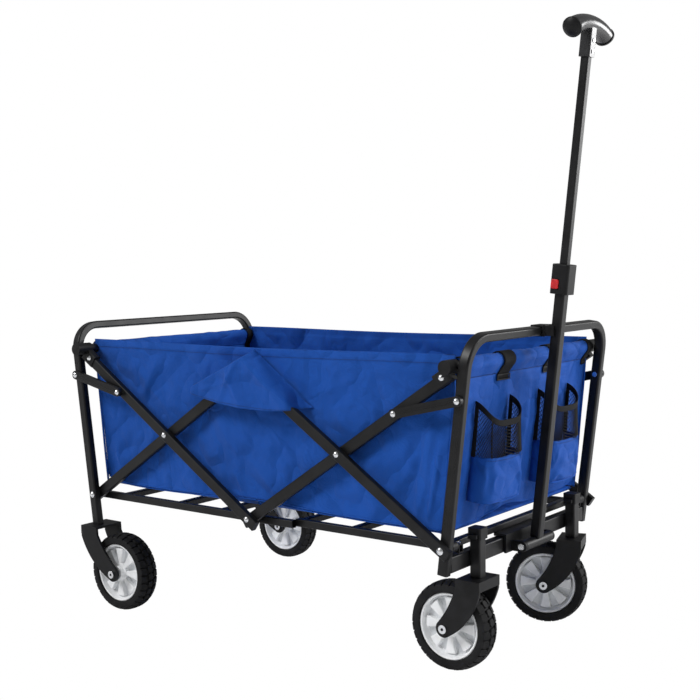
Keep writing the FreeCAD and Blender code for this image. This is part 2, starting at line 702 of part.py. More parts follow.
def handle_frame(shape):
    """Place a piece drawn with the handle upright at the origin."""
    shape = shape.copy()
    shape.rotate(Vector(0, 0, 0), Vector(0, 1, 0), HANDLE_LEAN)
    shape.translate(Vector(HANDLE_HINGE[0], 0, HANDLE_HINGE[1]))
    return shape


def handle_clip():
    """Plastic parking clip round the top bar, with two soft fingers beside the handle."""
    z = TOP_BAR_Z
    x = leg_x(z)
    face = x + LEG_DEPTH / 2 + 0.6
    half = LOWER_TUBE / 2 + 7.5
    body = block((x - 12.5, face + 2.6), (-half, half), (z - 10.0, z + 10.0))
    bar = block((x - LEG_DEPTH / 2, x + LEG_DEPTH / 2), (-half - 1, half + 1), (z - 7.6, z + 7.6))
    bar.rotate(Vector(x, 0, z), Vector(0, 1, 0), LEG_TILT)
    fingers = []
    for side in (-1, 1):
        ys = sorted((side * (LOWER_TUBE / 2 + 0.5), side * (LOWER_TUBE / 2 + 4.5)))
        fingers.append(block((face, face + 20.0), ys, (z - 9.0, z + 9.0)))
    slot = block((face + 0.4, face + 30.0), (-LOWER_TUBE / 2 - 0.5, LOWER_TUBE / 2 + 0.5), (z - 12, z + 12))
    return [body.fuse(fingers).cut(bar).cut(slot).removeSplitter()]


# ---- handle -------------------------------------------------------------------------------------
def upright_tube(span, side, wall, radius):
    low = Vector(0, 0, span[0])
    high = Vector(0, 0, span[1])
    return square_tube(low, high, Vector(1, 0, 0), side, side, wall, radius)


def upright_core(low, high, side, radius):
    """Solid square bar along the handle, to cut the room for a tube."""
    outline = rounded_wire(Vector(0, 0, low), Vector(1, 0, 0), Vector(0, 1, 0), side, side, radius)
    return Part.Face(outline).extrude(Vector(0, 0, high - low))


def handle_barrel():
    barrel = rod((0, -BARREL_HALF, 0), (0, BARREL_HALF, 0), BARREL_RADIUS)
    return [handle_frame(barrel.cut(rod((0, -60, 0), (0, 60, 0), RIVET_RADIUS + PIN_GAP)))]


def handle_lower_tube():
    tube = upright_tube(LOWER_TUBE_SPAN, LOWER_TUBE, 1.5, 3.5)
    tube = tube.cut(rod((0, -60, 0), (0, 60, 0), BARREL_RADIUS))
    return [handle_frame(tube)]


def handle_collar():
    """Plastic collar over the end of the lower tube, with a well for the release button."""
    low, high = COLLAR_SPAN
    body = block((-COLLAR / 2, COLLAR / 2), (-COLLAR / 2, COLLAR / 2), (low, high))
    body = body.makeFillet(6.0, [e for e in body.Edges if abs(e.tangentAt(0).z) > 0.9])
    top_edges = [e for e in body.Edges if min(v.Z for v in e.Vertexes) > high - 0.1]
    body = body.makeFillet(1.5, top_edges)
    body = body.cut(upright_core(low - 1, LOWER_TUBE_SPAN[1], LOWER_TUBE, 3.5))
    body = body.cut(upright_core(low, high + 1, UPPER_TUBE + 1.0, 3.0))
    well = block((BUTTON_ACROSS - BUTTON[0] / 2 - 0.3, BUTTON_ACROSS + BUTTON[0] / 2 + 0.3),
                 (-COLLAR / 2 - 1, -COLLAR / 2 + 5.5),
                 (BUTTON_ALONG - BUTTON[1] / 2 - 0.3, BUTTON_ALONG + BUTTON[1] / 2 + 0.3))
    return [handle_frame(body.cut(well))]


def release_button():
    """Red push button, its face just proud of the collar."""
    body = block((BUTTON_ACROSS - BUTTON[0] / 2, BUTTON_ACROSS + BUTTON[0] / 2),
                 (-COLLAR / 2 - 2.2, -COLLAR / 2 + 2.0),
                 (BUTTON_ALONG - BUTTON[1] / 2, BUTTON_ALONG + BUTTON[1] / 2))
    body = body.makeFillet(3.0, [e for e in body.Edges if abs(e.tangentAt(0).y) > 0.9])
    front = [e for e in body.Edges if max(v.Y for v in e.Vertexes) < -COLLAR / 2 - 2.1]
    return [handle_frame(body.makeFillet(0.8, front))]


def handle_upper_tube():
    return [handle_frame(upright_tube(UPPER_TUBE_SPAN, UPPER_TUBE, 1.3, 2.8))]


def grip_sleeve():
    """Stem sleeve that takes the end of the upper tube."""
    low, high = SLEEVE_SPAN
    side = UPPER_TUBE + 2 * SLEEVE_WALL
    body = block((-side / 2, side / 2), (-side / 2, side / 2), (low, high + 6.0))
    body = body.makeFillet(3.0, [e for e in body.Edges if abs(e.tangentAt(0).z) > 0.9])
    hole = upright_core(low - 1, high, UPPER_TUBE, 2.8)
    return body, hole.fuse([screw_shank(along) for along in SLEEVE_SCREWS])


def screw_shank(along):
    inner = UPPER_TUBE / 2
    return rod((inner, 0, along), (inner + SLEEVE_WALL, 0, along), 1.6)


def sleeve_screws():
    """Two pan-head screws in the front face of the grip's sleeve."""
    face = UPPER_TUBE / 2 + SLEEVE_WALL
    screws = []
    for along in SLEEVE_SCREWS:
        head = rod((face, 0, along), (face + 1.6, 0, along), 3.6)
        rim = [e for e in head.Edges if min(v.X for v in e.Vertexes) > face + 1.5]
        screws.append(handle_frame(head.makeFillet(0.9, rim).fuse(screw_shank(along))))
    return screws


def grip_spine():
    droop = GRIP_DROOP
    start = Vector(0, -GRIP_HALF, GRIP_ALONG - droop)
    end = Vector(0, GRIP_HALF, GRIP_ALONG - droop)
    return start, Vector(0, 0, GRIP_ALONG), end


def handle_grip():
    """Arched grip, thicker towards its ends, on a stem sleeve."""
    start, crown, end = grip_spine()
    arc = Part.Arc(start, crown, end)
    first, last = arc.FirstParameter, arc.LastParameter
    sections = []
    for share, radius in ((0.0, 15.5), (0.15, 14.8), (0.5, 13.0), (0.85, 14.8), (1.0, 15.5)):
        place = first + (last - first) * share
        circle = Part.Circle(arc.value(place), arc.tangent(place)[0], radius)
        sections.append(Part.Wire(circle.toShape()))
    grip = Part.makeLoft(sections, True, False)
    body, hole = grip_sleeve()
    return [handle_frame(grip.fuse(body).cut(hole).removeSplitter())]


def grip_end_caps():
    """Rounded caps over the two ends of the grip."""
    start, crown, end = grip_spine()
    arc = Part.Arc(start, crown, end)
    caps = []
    for place, way in ((arc.FirstParameter, -1), (arc.LastParameter, 1)):
        centre = arc.value(place)
        out = arc.tangent(place)[0] * way
        neck = Part.makeCylinder(17.0, 3.0, centre, out)
        ball = Part.makeSphere(22.0, centre + out * (3.0 + 7.0 - 22.0))
        keep = Part.makeCylinder(17.0, 12.0, centre + out * 3.0, out)
        caps.append(handle_frame(neck.fuse(ball.common(keep)).removeSplitter()))
    return caps


# ---- folding base -------------------------------------------------------------------------------
def base_half(rail_ys, rail_end, slat_places, side):
    """Two side rails with cross slats between them, drawn at the front; side mirrors it to the rear."""
    rail = square_tube(
        Vector(rail_end, sum(rail_ys) / 2, sum(BASE_RAIL_Z) / 2),
        Vector(PIVOT_X + 9.0, sum(rail_ys) / 2, sum(BASE_RAIL_Z) / 2),
        Vector(0, 1, 0), rail_ys[1] - rail_ys[0], BASE_RAIL_Z[1] - BASE_RAIL_Z[0], 1.2, 2.0,
    )
    rail = drilled(rail, [(PIVOT_X, PIVOT_Z)], rail_ys, RIVET_RADIUS + PIN_GAP)
    pieces = both([rail])
    reach = rail_ys[0]
    for x in slat_places:
        pieces.append(square_tube(
            Vector(x, -reach, sum(BASE_SLAT_Z) / 2), Vector(x, reach, sum(BASE_SLAT_Z) / 2),
            Vector(1, 0, 0), 14.0, BASE_SLAT_Z[1] - BASE_SLAT_Z[0], 1.2, 2.0,
        ))
    if side < 0:
        pieces = [mirror_x(p) for p in pieces]
    return pieces


def base_rear_frame():
    return base_half(REAR_RAIL_Y, REAR_RAIL_END, REAR_SLATS, -1)


def base_front_frame():
    return base_half(FRONT_RAIL_Y, FRONT_RAIL_END, FRONT_SLATS, 1)


# ---- fabric tub ---------------------------------------------------------------------------------
def end_panel():
    """End wall hanging from a sleeve round the rail, drawn at the front."""
    half = SIDE_PANEL_Y - 1.0
    sleeve = rod((0, -half, 0), (0, half, 0), RAIL_RADIUS + 0.1 + FABRIC)
    sheet = block((-FABRIC / 2, FABRIC / 2), (-half, half), (-PANEL_LENGTH, -RAIL_RADIUS - 1.0))
    panel = sleeve.fuse(sheet).cut(rod((0, -300, 0), (0, 300, 0), RAIL_RADIUS + 0.1))
    return in_panel_frame(panel.removeSplitter())


def in_panel_frame(shape):
    shape = shape.copy()
    shape.rotate(Vector(0, 0, 0), Vector(0, 1, 0), math.degrees(PANEL_TILT))
    shape.translate(Vector(RAIL[0], 0, RAIL[1]))
    return shape


def pocket():
    """Left cup pocket: open at the top and closed by the end panel behind."""
    low, high = -242.0, -95.0
    y0, y1 = POCKET_Y
    back = FABRIC / 2
    outer = block((back, back + POCKET_DEPTH), (y0, y1), (low, high))
    outer = outer.makeFillet(14.0, [e for e in outer.Edges
                                    if abs(e.tangentAt(0).z) > 0.9 and e.Vertexes[0].X > back + 1])
    inner = block((back, back + POCKET_DEPTH - 2.0), (y0 + 2.0, y1 - 2.0), (low + 2.0, high + 5.0))
    inner = inner.makeFillet(12.0, [e for e in inner.Edges
                                    if abs(e.tangentAt(0).z) > 0.9 and e.Vertexes[0].X > back + 1])
    return in_panel_frame(outer.cut(inner))


def side_panel():
    """Left side wall of the tub with its hanging centre flap."""
    bottom_x, bottom_z = PANEL_BOTTOM
    top_x = bottom_x + (HEM_Z - bottom_z) * math.tan(PANEL_TILT)
    corners = [
        (-bottom_x + 2, bottom_z), (bottom_x - 2, bottom_z), (top_x - 16, HEM_Z - 1), (-top_x + 16, HEM_Z - 1),
    ]
    wall = filled_outline(corners, (SIDE_PANEL_Y, SIDE_PANEL_Y + FABRIC))
    return wall.fuse(side_flap()).removeSplitter()


def side_flap():
    """Left centre flap that hangs from the hem outside the scissor bars."""
    ys = (OUTER_PLANE[1] + 3.6, OUTER_PLANE[1] + 3.6 + FABRIC)
    top_z = HEM_Z - 3
    peak = 12
    half = [(peak, top_z), (140, 452), (70, 426)]
    outline = half + [(0, 418)] + [(-x, z) for x, z in reversed(half)]
    hanging = filled_outline(outline, ys)
    top = block((-peak, peak), (SIDE_PANEL_Y + FABRIC, ys[1]), (top_z - FABRIC, top_z))
    return hanging.fuse(top).removeSplitter()


def floor_half(side):
    """Half of the tub's stiffened floor."""
    sheet = block((0.5, PANEL_BOTTOM[0] - 4.0), (-SIDE_PANEL_Y + 1, SIDE_PANEL_Y - 1), FLOOR_Z)
    return mirror_x(sheet) if side < 0 else sheet


# ---- all nodes ----------------------------------------------------------------------------------
def rear_nodes():
    """Rear end frame, its forks and wheels, and the two pairs of rear bars."""
    nodes = {
        "rear_end_tube": rear_end_tube(),
        "rear_leg_rivets": rear_pivot_bolts() + rear_leg_link_rivets(),
        "rear_spacers": rear_spacers(),
        "rear_axle_bolts": [rear_place(axle_bolt(REAR_TRAIL), side) for side in SIDES],
        "rear_rising_bars": both([rear_rising_bar(), foot_cap(INNER_PLANE, -1)]),
        "rear_falling_bars": both([rear_falling_bar(), lowest_cap(OUTER_PLANE, -1)]),
        "rear_rail_sockets": rear_rail_sockets(),
        "rear_bar_rivets": rear_bar_rivets() + rear_socket_rivets(),
        "rear_rail_tube": [mirror_x(rail_tube(REAR_HUB_Y))],
        "rear_links": rear_links(),
        "rear_link_rivets": rear_bar_link_rivets(),
        "base_rear_frame": base_rear_frame(),
    }
    for side in SIDES:
        nodes["rear_fork_" + side] = [rear_place(fork(REAR_TRAIL, FORK_TOP), side)]
        nodes["rear_tyre_" + side] = [rear_place(wheel_on(tyre(), REAR_TRAIL), side)]
        nodes["rear_rim_" + side] = [rear_place(wheel_on(rim(), REAR_TRAIL), side)]
    return nodes


def front_nodes():
    """Front end frame, its casters, and the two pairs of front bars."""
    nodes = {
        "front_end_tube": front_end_tube(),
        "front_leg_rivets": front_pivot_bolts() + front_leg_link_rivets(),
        "front_spacers": front_spacers(),
        "front_beam": front_beam(),
        "caster_tubes": caster_tubes(),
        "caster_tube_caps": caster_tube_caps(),
        "front_rising_bars": both([front_rising_bar(), foot_cap(OUTER_PLANE, 1)]),
        "front_falling_bars": both([front_falling_bar(), lowest_cap(INNER_PLANE, 1)]),
        "front_rail_sockets": front_rail_sockets(),
        "front_socket_rivets": front_socket_rivets(),
        "front_bar_rivets": front_bar_rivets(),
        "front_rail_tube": [rail_tube(FRONT_HUB_Y)],
        "front_links": front_links(),
        "front_link_rivets": front_bar_link_rivets(),
        "base_front_frame": base_front_frame(),
    }
    for side in SIDES:
        pieces = [fork(CASTER_TRAIL, FORK_TOP).cut(caster_stem()), caster_stem()]
        nodes["caster_fork_" + side] = [caster_place(piece, side) for piece in pieces]
        nodes["caster_bolt_" + side] = [caster_place(axle_bolt(CASTER_TRAIL), side)]
        nodes["front_tyre_" + side] = [caster_place(wheel_on(tyre(), CASTER_TRAIL), side)]
        nodes["front_rim_" + side] = [caster_place(wheel_on(rim(), CASTER_TRAIL), side)]
    return nodes


def handle_nodes():
    return {
        "handle_bracket": handle_bracket(),
        "handle_pivot_bolt": handle_pivot_bolt(),
        "handle_clip": handle_clip(),
        "handle_lower_tube": handle_barrel() + handle_lower_tube(),
        "handle_collar": handle_collar(),
        "release_button": release_button(),
        "handle_upper_tube": handle_upper_tube(),
        "handle_grip": handle_grip(),
        "sleeve_screws": sleeve_screws(),
        "grip_end_caps": grip_end_caps(),
    }


def fabric_nodes():
    return {
        "rear_panel": [mirror_x(end_panel())],
        "front_panel": [end_panel()],
        "side_panel_left": [side_panel()],
        "side_panel_right": [mirror_y(side_panel())],
        "pocket_left": [pocket()],
        "pocket_right": [mirror_y(pocket())],
        "floor_rear": [floor_half(-1)],
        "floor_front": [floor_half(1)],
    }


def middle_x(nodes):
    """Middle of the whole object fore and aft: rear top bar to the front of the grip."""
    rear = Part.makeCompound(nodes["rear_end_tube"]).optimalBoundingBox()
    front = Part.makeCompound(nodes["handle_grip"] + nodes["grip_end_caps"]).optimalBoundingBox()
    return (rear.XMin + front.XMax) / 2


def build():
    nodes = {}
    for group in (rear_nodes(), front_nodes(), handle_nodes(), fabric_nodes()):
        nodes.update(group)
    return nodes


NODES = build()
SHIFT_X = -middle_x(NODES)

os.makedirs("parts", exist_ok=True)
for name, solids in NODES.items():
    shape = solids[0] if len(solids) == 1 else Part.makeCompound(solids)
    shape.translate(Vector(SHIFT_X, 0, 0))
    shape.exportStep("parts/" + name + ".step")
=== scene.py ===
"""Looks of the folding pull-along wagon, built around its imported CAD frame.

Metres, in the frame's own axes: +X forward (the handle end), +Y left, +Z up.  Lengths written with
MM are the object's own sizes.  Soft parts are laid out from the middle of the wagon's wheelbase.
"""
import json
import math

import bpy
from mathutils import Matrix, Vector, noise


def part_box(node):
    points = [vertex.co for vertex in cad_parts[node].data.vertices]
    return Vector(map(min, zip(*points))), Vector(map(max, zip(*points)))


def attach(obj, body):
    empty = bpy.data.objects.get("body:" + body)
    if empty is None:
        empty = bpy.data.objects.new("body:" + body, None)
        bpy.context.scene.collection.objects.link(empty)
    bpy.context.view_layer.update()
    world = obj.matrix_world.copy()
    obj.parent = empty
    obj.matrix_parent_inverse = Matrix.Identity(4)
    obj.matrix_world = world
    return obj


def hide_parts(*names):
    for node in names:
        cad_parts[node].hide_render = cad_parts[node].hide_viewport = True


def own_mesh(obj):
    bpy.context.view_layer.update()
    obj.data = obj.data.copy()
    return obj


MM = 0.001

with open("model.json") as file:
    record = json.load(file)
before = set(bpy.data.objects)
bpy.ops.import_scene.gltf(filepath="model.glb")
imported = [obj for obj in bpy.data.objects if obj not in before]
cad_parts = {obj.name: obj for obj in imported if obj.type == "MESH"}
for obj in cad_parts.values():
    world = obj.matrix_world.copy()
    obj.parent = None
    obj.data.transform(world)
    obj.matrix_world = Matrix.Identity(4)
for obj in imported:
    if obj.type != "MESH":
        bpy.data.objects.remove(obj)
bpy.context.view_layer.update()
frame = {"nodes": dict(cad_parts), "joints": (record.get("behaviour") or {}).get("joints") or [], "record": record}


# ---- places read from the frame -----------------------------------------------------------------
def middle_of(node):
    low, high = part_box(node)
    return (low + high) / 2


def across_of(node):
    low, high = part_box(node)
    return high - low


FRONT_RAIL = middle_of("front_rail_tube")
REAR_RAIL = middle_of("rear_rail_tube")
RAIL_RADIUS = across_of("front_rail_tube").z / 2
MIDDLE_X = (FRONT_RAIL.x + REAR_RAIL.x) / 2
RAIL_X = FRONT_RAIL.x - MIDDLE_X
RAIL_Z = FRONT_RAIL.z
WALL_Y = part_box("side_panel_left")[0].y + 1.2 * MM       # middle of a side wall's cloth
FLOOR_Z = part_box("floor_front")[1].z
FOOT_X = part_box("floor_front")[1].x - MIDDLE_X + 4 * MM  # foot of the end walls
FOOT_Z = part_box("side_panel_left")[0].z
PANEL_LEAN = math.atan2(RAIL_X - FOOT_X, RAIL_Z - FOOT_Z)
POCKET_LOW, POCKET_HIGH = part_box("pocket_left")


def at(x, y, z):
    """Point of the frame from one measured from the middle of the wheelbase."""
    return Vector((MIDDLE_X + x, y, z))


# ---- node-based materials -----------------------------------------------------------------------
def new_material(name, colour, roughness, **sockets):
    material = bpy.data.materials.new(name)
    material.use_nodes = True
    shader = material.node_tree.nodes["Principled BSDF"]
    shader.inputs["Base Color"].default_value = (*colour, 1)
    shader.inputs["Roughness"].default_value = roughness
    for socket, value in sockets.items():
        shader.inputs[socket.replace("_", " ")].default_value = value
    return material


def add_node(material, kind, **values):
    """New node; values are its attributes, or its sockets where it has no such attribute."""
    node = material.node_tree.nodes.new(kind)
    for name, value in values.items():
        if hasattr(node, name):
            setattr(node, name, value)
        else:
            node.inputs[name.replace("_", " ")].default_value = value
    return node


def wire(material, source, target):
    material.node_tree.links.new(source, target)


def place_of(material):
    return add_node(material, "ShaderNodeTexCoord").outputs["Object"]


def noise_field(material, scale, detail=3.0, roughness=0.5, stretch=None):
    """Noise over the object's own coordinates, stretched along an axis where that is given."""
    field = add_node(material, "ShaderNodeTexNoise", Scale=scale, Detail=detail, Roughness=roughness)
    source = place_of(material)
    if stretch:
        mapping = add_node(material, "ShaderNodeMapping")
        mapping.inputs["Scale"].default_value = stretch
        wire(material, source, mapping.inputs["Vector"])
        source = mapping.outputs["Vector"]
    wire(material, source, field.inputs["Vector"])
    return field.outputs["Fac"]


def ramp(material, source, low, high, stops=(0.35, 0.65)):
    node = add_node(material, "ShaderNodeValToRGB")
    first, last = node.color_ramp.elements
    first.position, last.position = stops
    first.color, last.color = (*low, 1), (*high, 1)
    wire(material, source, node.inputs["Fac"])
    return node.outputs["Color"]


def vary_roughness(material, source, low, high):
    node = add_node(material, "ShaderNodeMapRange")
    node.inputs["To Min"].default_value = low
    node.inputs["To Max"].default_value = high
    wire(material, source, node.inputs["Value"])
    wire(material, node.outputs["Result"], material.node_tree.nodes["Principled BSDF"].inputs["Roughness"])


def bump(material, layers):
    """Chain of bumps, each (height source, strength, distance in metres)."""
    shader = material.node_tree.nodes["Principled BSDF"]
    previous = None
    for source, strength, distance in layers:
        node = add_node(material, "ShaderNodeBump", Strength=strength, Distance=distance)
        wire(material, source, node.inputs["Height"])
        if previous is not None:
            wire(material, previous, node.inputs["Normal"])
        previous = node.outputs["Normal"]
    wire(material, previous, shader.inputs["Normal"])


def colour_from(material, source):
    wire(material, source, material.node_tree.nodes["Principled BSDF"].inputs["Base Color"])


def bands(material, period, direction):
    """Smooth bands across the object's coordinates along direction, one per period."""
    node = add_node(material, "ShaderNodeTexWave", wave_type="BANDS", bands_direction=direction)
    node.inputs["Scale"].default_value = 2 * math.pi / (20 * period)
    wire(material, place_of(material), node.inputs["Vector"])
    return node.outputs["Fac"]


def combine(material, operation, first, second):
    node = add_node(material, "ShaderNodeMath", operation=operation)
    wire(material, first, node.inputs[0])
    wire(material, second, node.inputs[1])
    return node.outputs[0]


def powder_coat():
    """Satin black powder coat: a fine orange peel and slightly uneven gloss."""
    material = new_material("powder_coat", (0.007, 0.007, 0.008), 0.36, Specular_IOR_Level=0.26)
    patches = noise_field(material, 26.0)
    colour_from(material, ramp(material, patches, (0.005, 0.005, 0.0055), (0.010, 0.010, 0.011)))
    vary_roughness(material, patches, 0.30, 0.46)
    bump(material, [(noise_field(material, 1500.0, 2.0), 0.18, 0.15 * MM)])
    return material


def moulded_black():
    """Matt black moulded plastic with a fine spark-eroded grain."""
    material = new_material("moulded_black", (0.006, 0.006, 0.007), 0.5, Specular_IOR_Level=0.24)
    grain = noise_field(material, 2200.0, 2.0)
    patches = noise_field(material, 40.0)
    colour_from(material, ramp(material, patches, (0.0045, 0.0045, 0.005), (0.009, 0.009, 0.010)))
    vary_roughness(material, patches, 0.42, 0.60)
    bump(material, [(grain, 0.25, 0.12 * MM)])
    return material


def glossy_grip():
    """Smooth black grip with a soft shine."""
    material = new_material("glossy_grip", (0.014, 0.014, 0.016), 0.28, Specular_IOR_Level=0.6)
    material.node_tree.nodes["Principled BSDF"].inputs["Coat Weight"].default_value = 0.25
    material.node_tree.nodes["Principled BSDF"].inputs["Coat Roughness"].default_value = 0.2
    vary_roughness(material, noise_field(material, 90.0), 0.22, 0.36)
    bump(material, [(noise_field(material, 1800.0, 2.0), 0.12, 0.08 * MM)])
    return material


def red_button():
    material = new_material("red_button", (0.62, 0.012, 0.016), 0.34, Specular_IOR_Level=0.5)
    patches = noise_field(material, 160.0)
    colour_from(material, ramp(material, patches, (0.52, 0.008, 0.012), (0.70, 0.016, 0.020)))
    bump(material, [(noise_field(material, 2200.0, 2.0), 0.15, 0.06 * MM)])
    return material


def bright_zinc():
    """Bright plated steel of the rivets, bolts and screws."""
    material = new_material("bright_zinc", (0.80, 0.81, 0.83), 0.2, Metallic=1.0)
    marks = noise_field(material, 700.0, 4.0)
    colour_from(material, ramp(material, marks, (0.62, 0.63, 0.66), (0.88, 0.89, 0.90)))
    vary_roughness(material, marks, 0.12, 0.32)
    bump(material, [(marks, 0.1, 0.05 * MM)])
    return material


def tyre_rubber():
    material = new_material("tyre_rubber", (0.006, 0.006, 0.007), 0.7, Specular_IOR_Level=0.22)
    dust = noise_field(material, 55.0, 5.0)
    colour_from(material, ramp(material, dust, (0.004, 0.004, 0.0045), (0.012, 0.012, 0.013)))
    vary_roughness(material, dust, 0.55, 0.82)
    bump(material, [(noise_field(material, 1300.0, 3.0), 0.3, 0.15 * MM)])
    return material


def rim_plastic(name, low, high, roughness):
    """Moulded wheel plastic; low and high are its two shades."""
    material = new_material(name, high, roughness, Specular_IOR_Level=0.5)
    cloud = noise_field(material, 45.0, 3.0)
    colour_from(material, ramp(material, cloud, low, high))
    vary_roughness(material, cloud, roughness - 0.06, roughness + 0.08)
    bump(material, [(noise_field(material, 1500.0, 2.0), 0.12, 0.06 * MM)])
    return material


def creases(material, scale, detail):
    """Sharp-backed folds: the distance of a noise from its own middle value."""
    field = noise_field(material, scale, detail, 0.55)
    centred = add_node(material, "ShaderNodeMath", operation="SUBTRACT")
    wire(material, field, centred.inputs[0])
    folded = add_node(material, "ShaderNodeMath", operation="ABSOLUTE")
    wire(material, centred.outputs[0], folded.inputs[0])
    return folded.outputs[0]


def woven_cloth(name, low, high, thread, sheen):
    """Plain-weave polyester: a fine weave, slubs, and shades that drift over the cloth."""
    material = new_material(name, high, 0.62, Specular_IOR_Level=0.12)
    shader = material.node_tree.nodes["Principled BSDF"]
    shader.inputs["Sheen Weight"].default_value = sheen
    shader.inputs["Sheen Roughness"].default_value = 0.45
    upright = combine(material, "ADD", bands(material, thread, "X"), bands(material, thread, "Y"))
    weave = combine(material, "MULTIPLY", upright, bands(material, thread, "Z"))
    slubs = noise_field(material, 900.0, 2.0, stretch=(0.25, 0.25, 1.0))
    drift = noise_field(material, 9.0, 5.0, 0.6)
    fibre = combine(material, "MULTIPLY_ADD", slubs, drift)
    colour_from(material, ramp(material, combine(material, "ADD", drift, fibre), low, high, (0.55, 1.15)))
    vary_roughness(material, drift, 0.52, 0.72)
    bump(material, [
        (creases(material, 5.0, 0.8), 1.0, 80.0 * MM), (creases(material, 13.0, 1.4), 1.0, 32.0 * MM),
        (weave, 0.6, 0.45 * MM), (slubs, 0.6, 0.5 * MM),
    ])
    return material


def webbing_black():
    """Ribbed black webbing and binding tape."""
    material = new_material("webbing_black", (0.006, 0.006, 0.007), 0.7, Specular_IOR_Level=0.12)
    ribs = combine(material, "MULTIPLY", bands(material, 1.7 * MM, "Z"), bands(material, 1.3 * MM, "Y"))
    fuzz = noise_field(material, 1200.0, 2.0)
    colour_from(material, ramp(material, fuzz, (0.005, 0.005, 0.006), (0.014, 0.014, 0.015)))
    bump(material, [(ribs, 0.6, 0.4 * MM), (fuzz, 0.3, 0.12 * MM)])
    return material


def net_thread():
    material = new_material("net_thread", (0.007, 0.007, 0.008), 0.65, Specular_IOR_Level=0.25)
    twist = noise_field(material, 2600.0, 2.0)
    colour_from(material, ramp(material, twist, (0.004, 0.004, 0.005), (0.012, 0.012, 0.014)))
    bump(material, [(twist, 0.4, 0.1 * MM)])
    return material


def sewing_thread():
    material = new_material("sewing_thread", (0.006, 0.020, 0.10), 0.55, Specular_IOR_Level=0.3)
    twist = noise_field(material, 2600.0, 2.0)
    colour_from(material, ramp(material, twist, (0.004, 0.014, 0.07), (0.010, 0.030, 0.14)))
    bump(material, [(twist, 0.4, 0.1 * MM)])
    return material


BLUE_LOW = (0.004, 0.043, 0.24)
BLUE_HIGH = (0.010, 0.085, 0.42)

LOOKS = {
    "black_steel": powder_coat(),
    "black_plastic": moulded_black(),
    "grip_plastic": glossy_grip(),
    "red_plastic": red_button(),
    "zinc": bright_zinc(),
    "tyre": tyre_rubber(),
    "rim": rim_plastic("rim_white", (0.84, 0.85, 0.86), (0.93, 0.94, 0.95), 0.32),
    "blue_fabric": woven_cloth("blue_cloth", BLUE_LOW, BLUE_HIGH, 0.9 * MM, 0.03),
    "pocket_fabric": woven_cloth("pocket_cloth", BLUE_LOW, BLUE_HIGH, 0.9 * MM, 0.03),
}
RIM_WEB = rim_plastic("rim_web", (0.66, 0.68, 0.70), (0.78, 0.80, 0.82), 0.28)
WEBBING = webbing_black()
NET = net_thread()
THREAD = sewing_thread()


# ---- general shapes -----------------------------------------------------------------------------
def smooth_step(value, start, end):
    t = min(1.0, max(0.0, (value - start) / (end - start)))
    return t * t * (3 - 2 * t)


def mesh_piece(name, points, faces, material, slot, body):
    """Mesh object with smooth faces and the material given, which rides on a body; slot is not used."""
    mesh = bpy.data.meshes.new(name)
    mesh.from_pydata([tuple(p) for p in points], [], faces)
    mesh.validate()
    mesh.polygons.foreach_set("use_smooth", [True] * len(mesh.polygons))
    mesh.materials.append(material)
    piece = bpy.data.objects.new(name, mesh)
    bpy.context.scene.collection.objects.link(piece)
    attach(piece, body)
    return piece


def grid_piece(name, columns, rows, place, material, slot, body):
    """Sheet of quads; place(u, v) gives the point for u and v from 0 to 1."""
    points = [place(i / columns, j / rows) for j in range(rows + 1) for i in range(columns + 1)]
    faces = []
    for j in range(rows):
        for i in range(columns):
            a, b = j * (columns + 1) + i, (j + 1) * (columns + 1) + i
            faces.append((a, a + 1, b + 1, b))
    return mesh_piece(name, points, faces, material, slot, body)


def thicken(piece, thickness, offset=0.0):
    """Gives a sheet its thickness, for good."""
    solid = piece.modifiers.new("thickness", "SOLIDIFY")
    solid.thickness, solid.offset = thickness, offset
    apply_modifiers(piece)


def apply_modifiers(piece):
    graph = bpy.context.evaluated_depsgraph_get()
    made = bpy.data.meshes.new_from_object(piece.evaluated_get(graph))
    piece.modifiers.clear()
    piece.data = made


def tube_piece(name, route, radius, material, slot, body, sides=8):
    """Round tube along a list of points, with closed ends."""
    points, faces = [], []
    for index, point in enumerate(route):
        before, after = route[max(0, index - 1)], route[min(len(route) - 1, index + 1)]
        along = (after - before).normalized()
        side = along.orthogonal() if index == 0 else side - along * side.dot(along)
        side.normalize()
        other = along.cross(side)
        for k in range(sides):
            angle = 2 * math.pi * k / sides
            points.append(point + (side * math.cos(angle) + other * math.sin(angle)) * radius)
    for index in range(len(route) - 1):
        for k in range(sides):
            a, b = index * sides + k, index * sides + (k + 1) % sides
            faces.append((a, b, b + sides, a + sides))
    faces.append(tuple(range(sides - 1, -1, -1)))
    faces.append(tuple(range(len(points) - sides, len(points))))
    return mesh_piece(name, points, faces, material, slot, body)


STITCH_PITCH, STITCH_LENGTH, STITCH_THICK = 4.2 * MM, 2.9 * MM, 0.8 * MM


def stitches(name, route, outward, body):
    """Row of sewn stitches along a dense list of points; outward is the cloth's outer side."""
    points, faces = [], []
    travelled, wanted = 0.0, 0.0
    for before, after in zip(route, route[1:]):
        step = (after - before).length
        along = (after - before).normalized()
        side = along.cross(outward).normalized()
        while wanted <= travelled + step and step > 0:
            centre = before + along * (wanted - travelled) + outward * (0.25 * STITCH_THICK)
            first = len(points)
            for reach, rise in ((-0.5, 0.0), (-0.25, 0.5), (0.25, 0.5), (0.5, 0.0)):
                for shift in (-0.5, 0.5):
                    raised = (outward * rise + side * shift) * STITCH_THICK
                    points.append(centre + along * (reach * STITCH_LENGTH) + raised)
            for k in range(0, 6, 2):
                faces.append((first + k, first + k + 1, first + k + 3, first + k + 2))
            wanted += STITCH_PITCH
        travelled += step
    return mesh_piece(name, points, faces, THREAD, "blue_fabric", body)


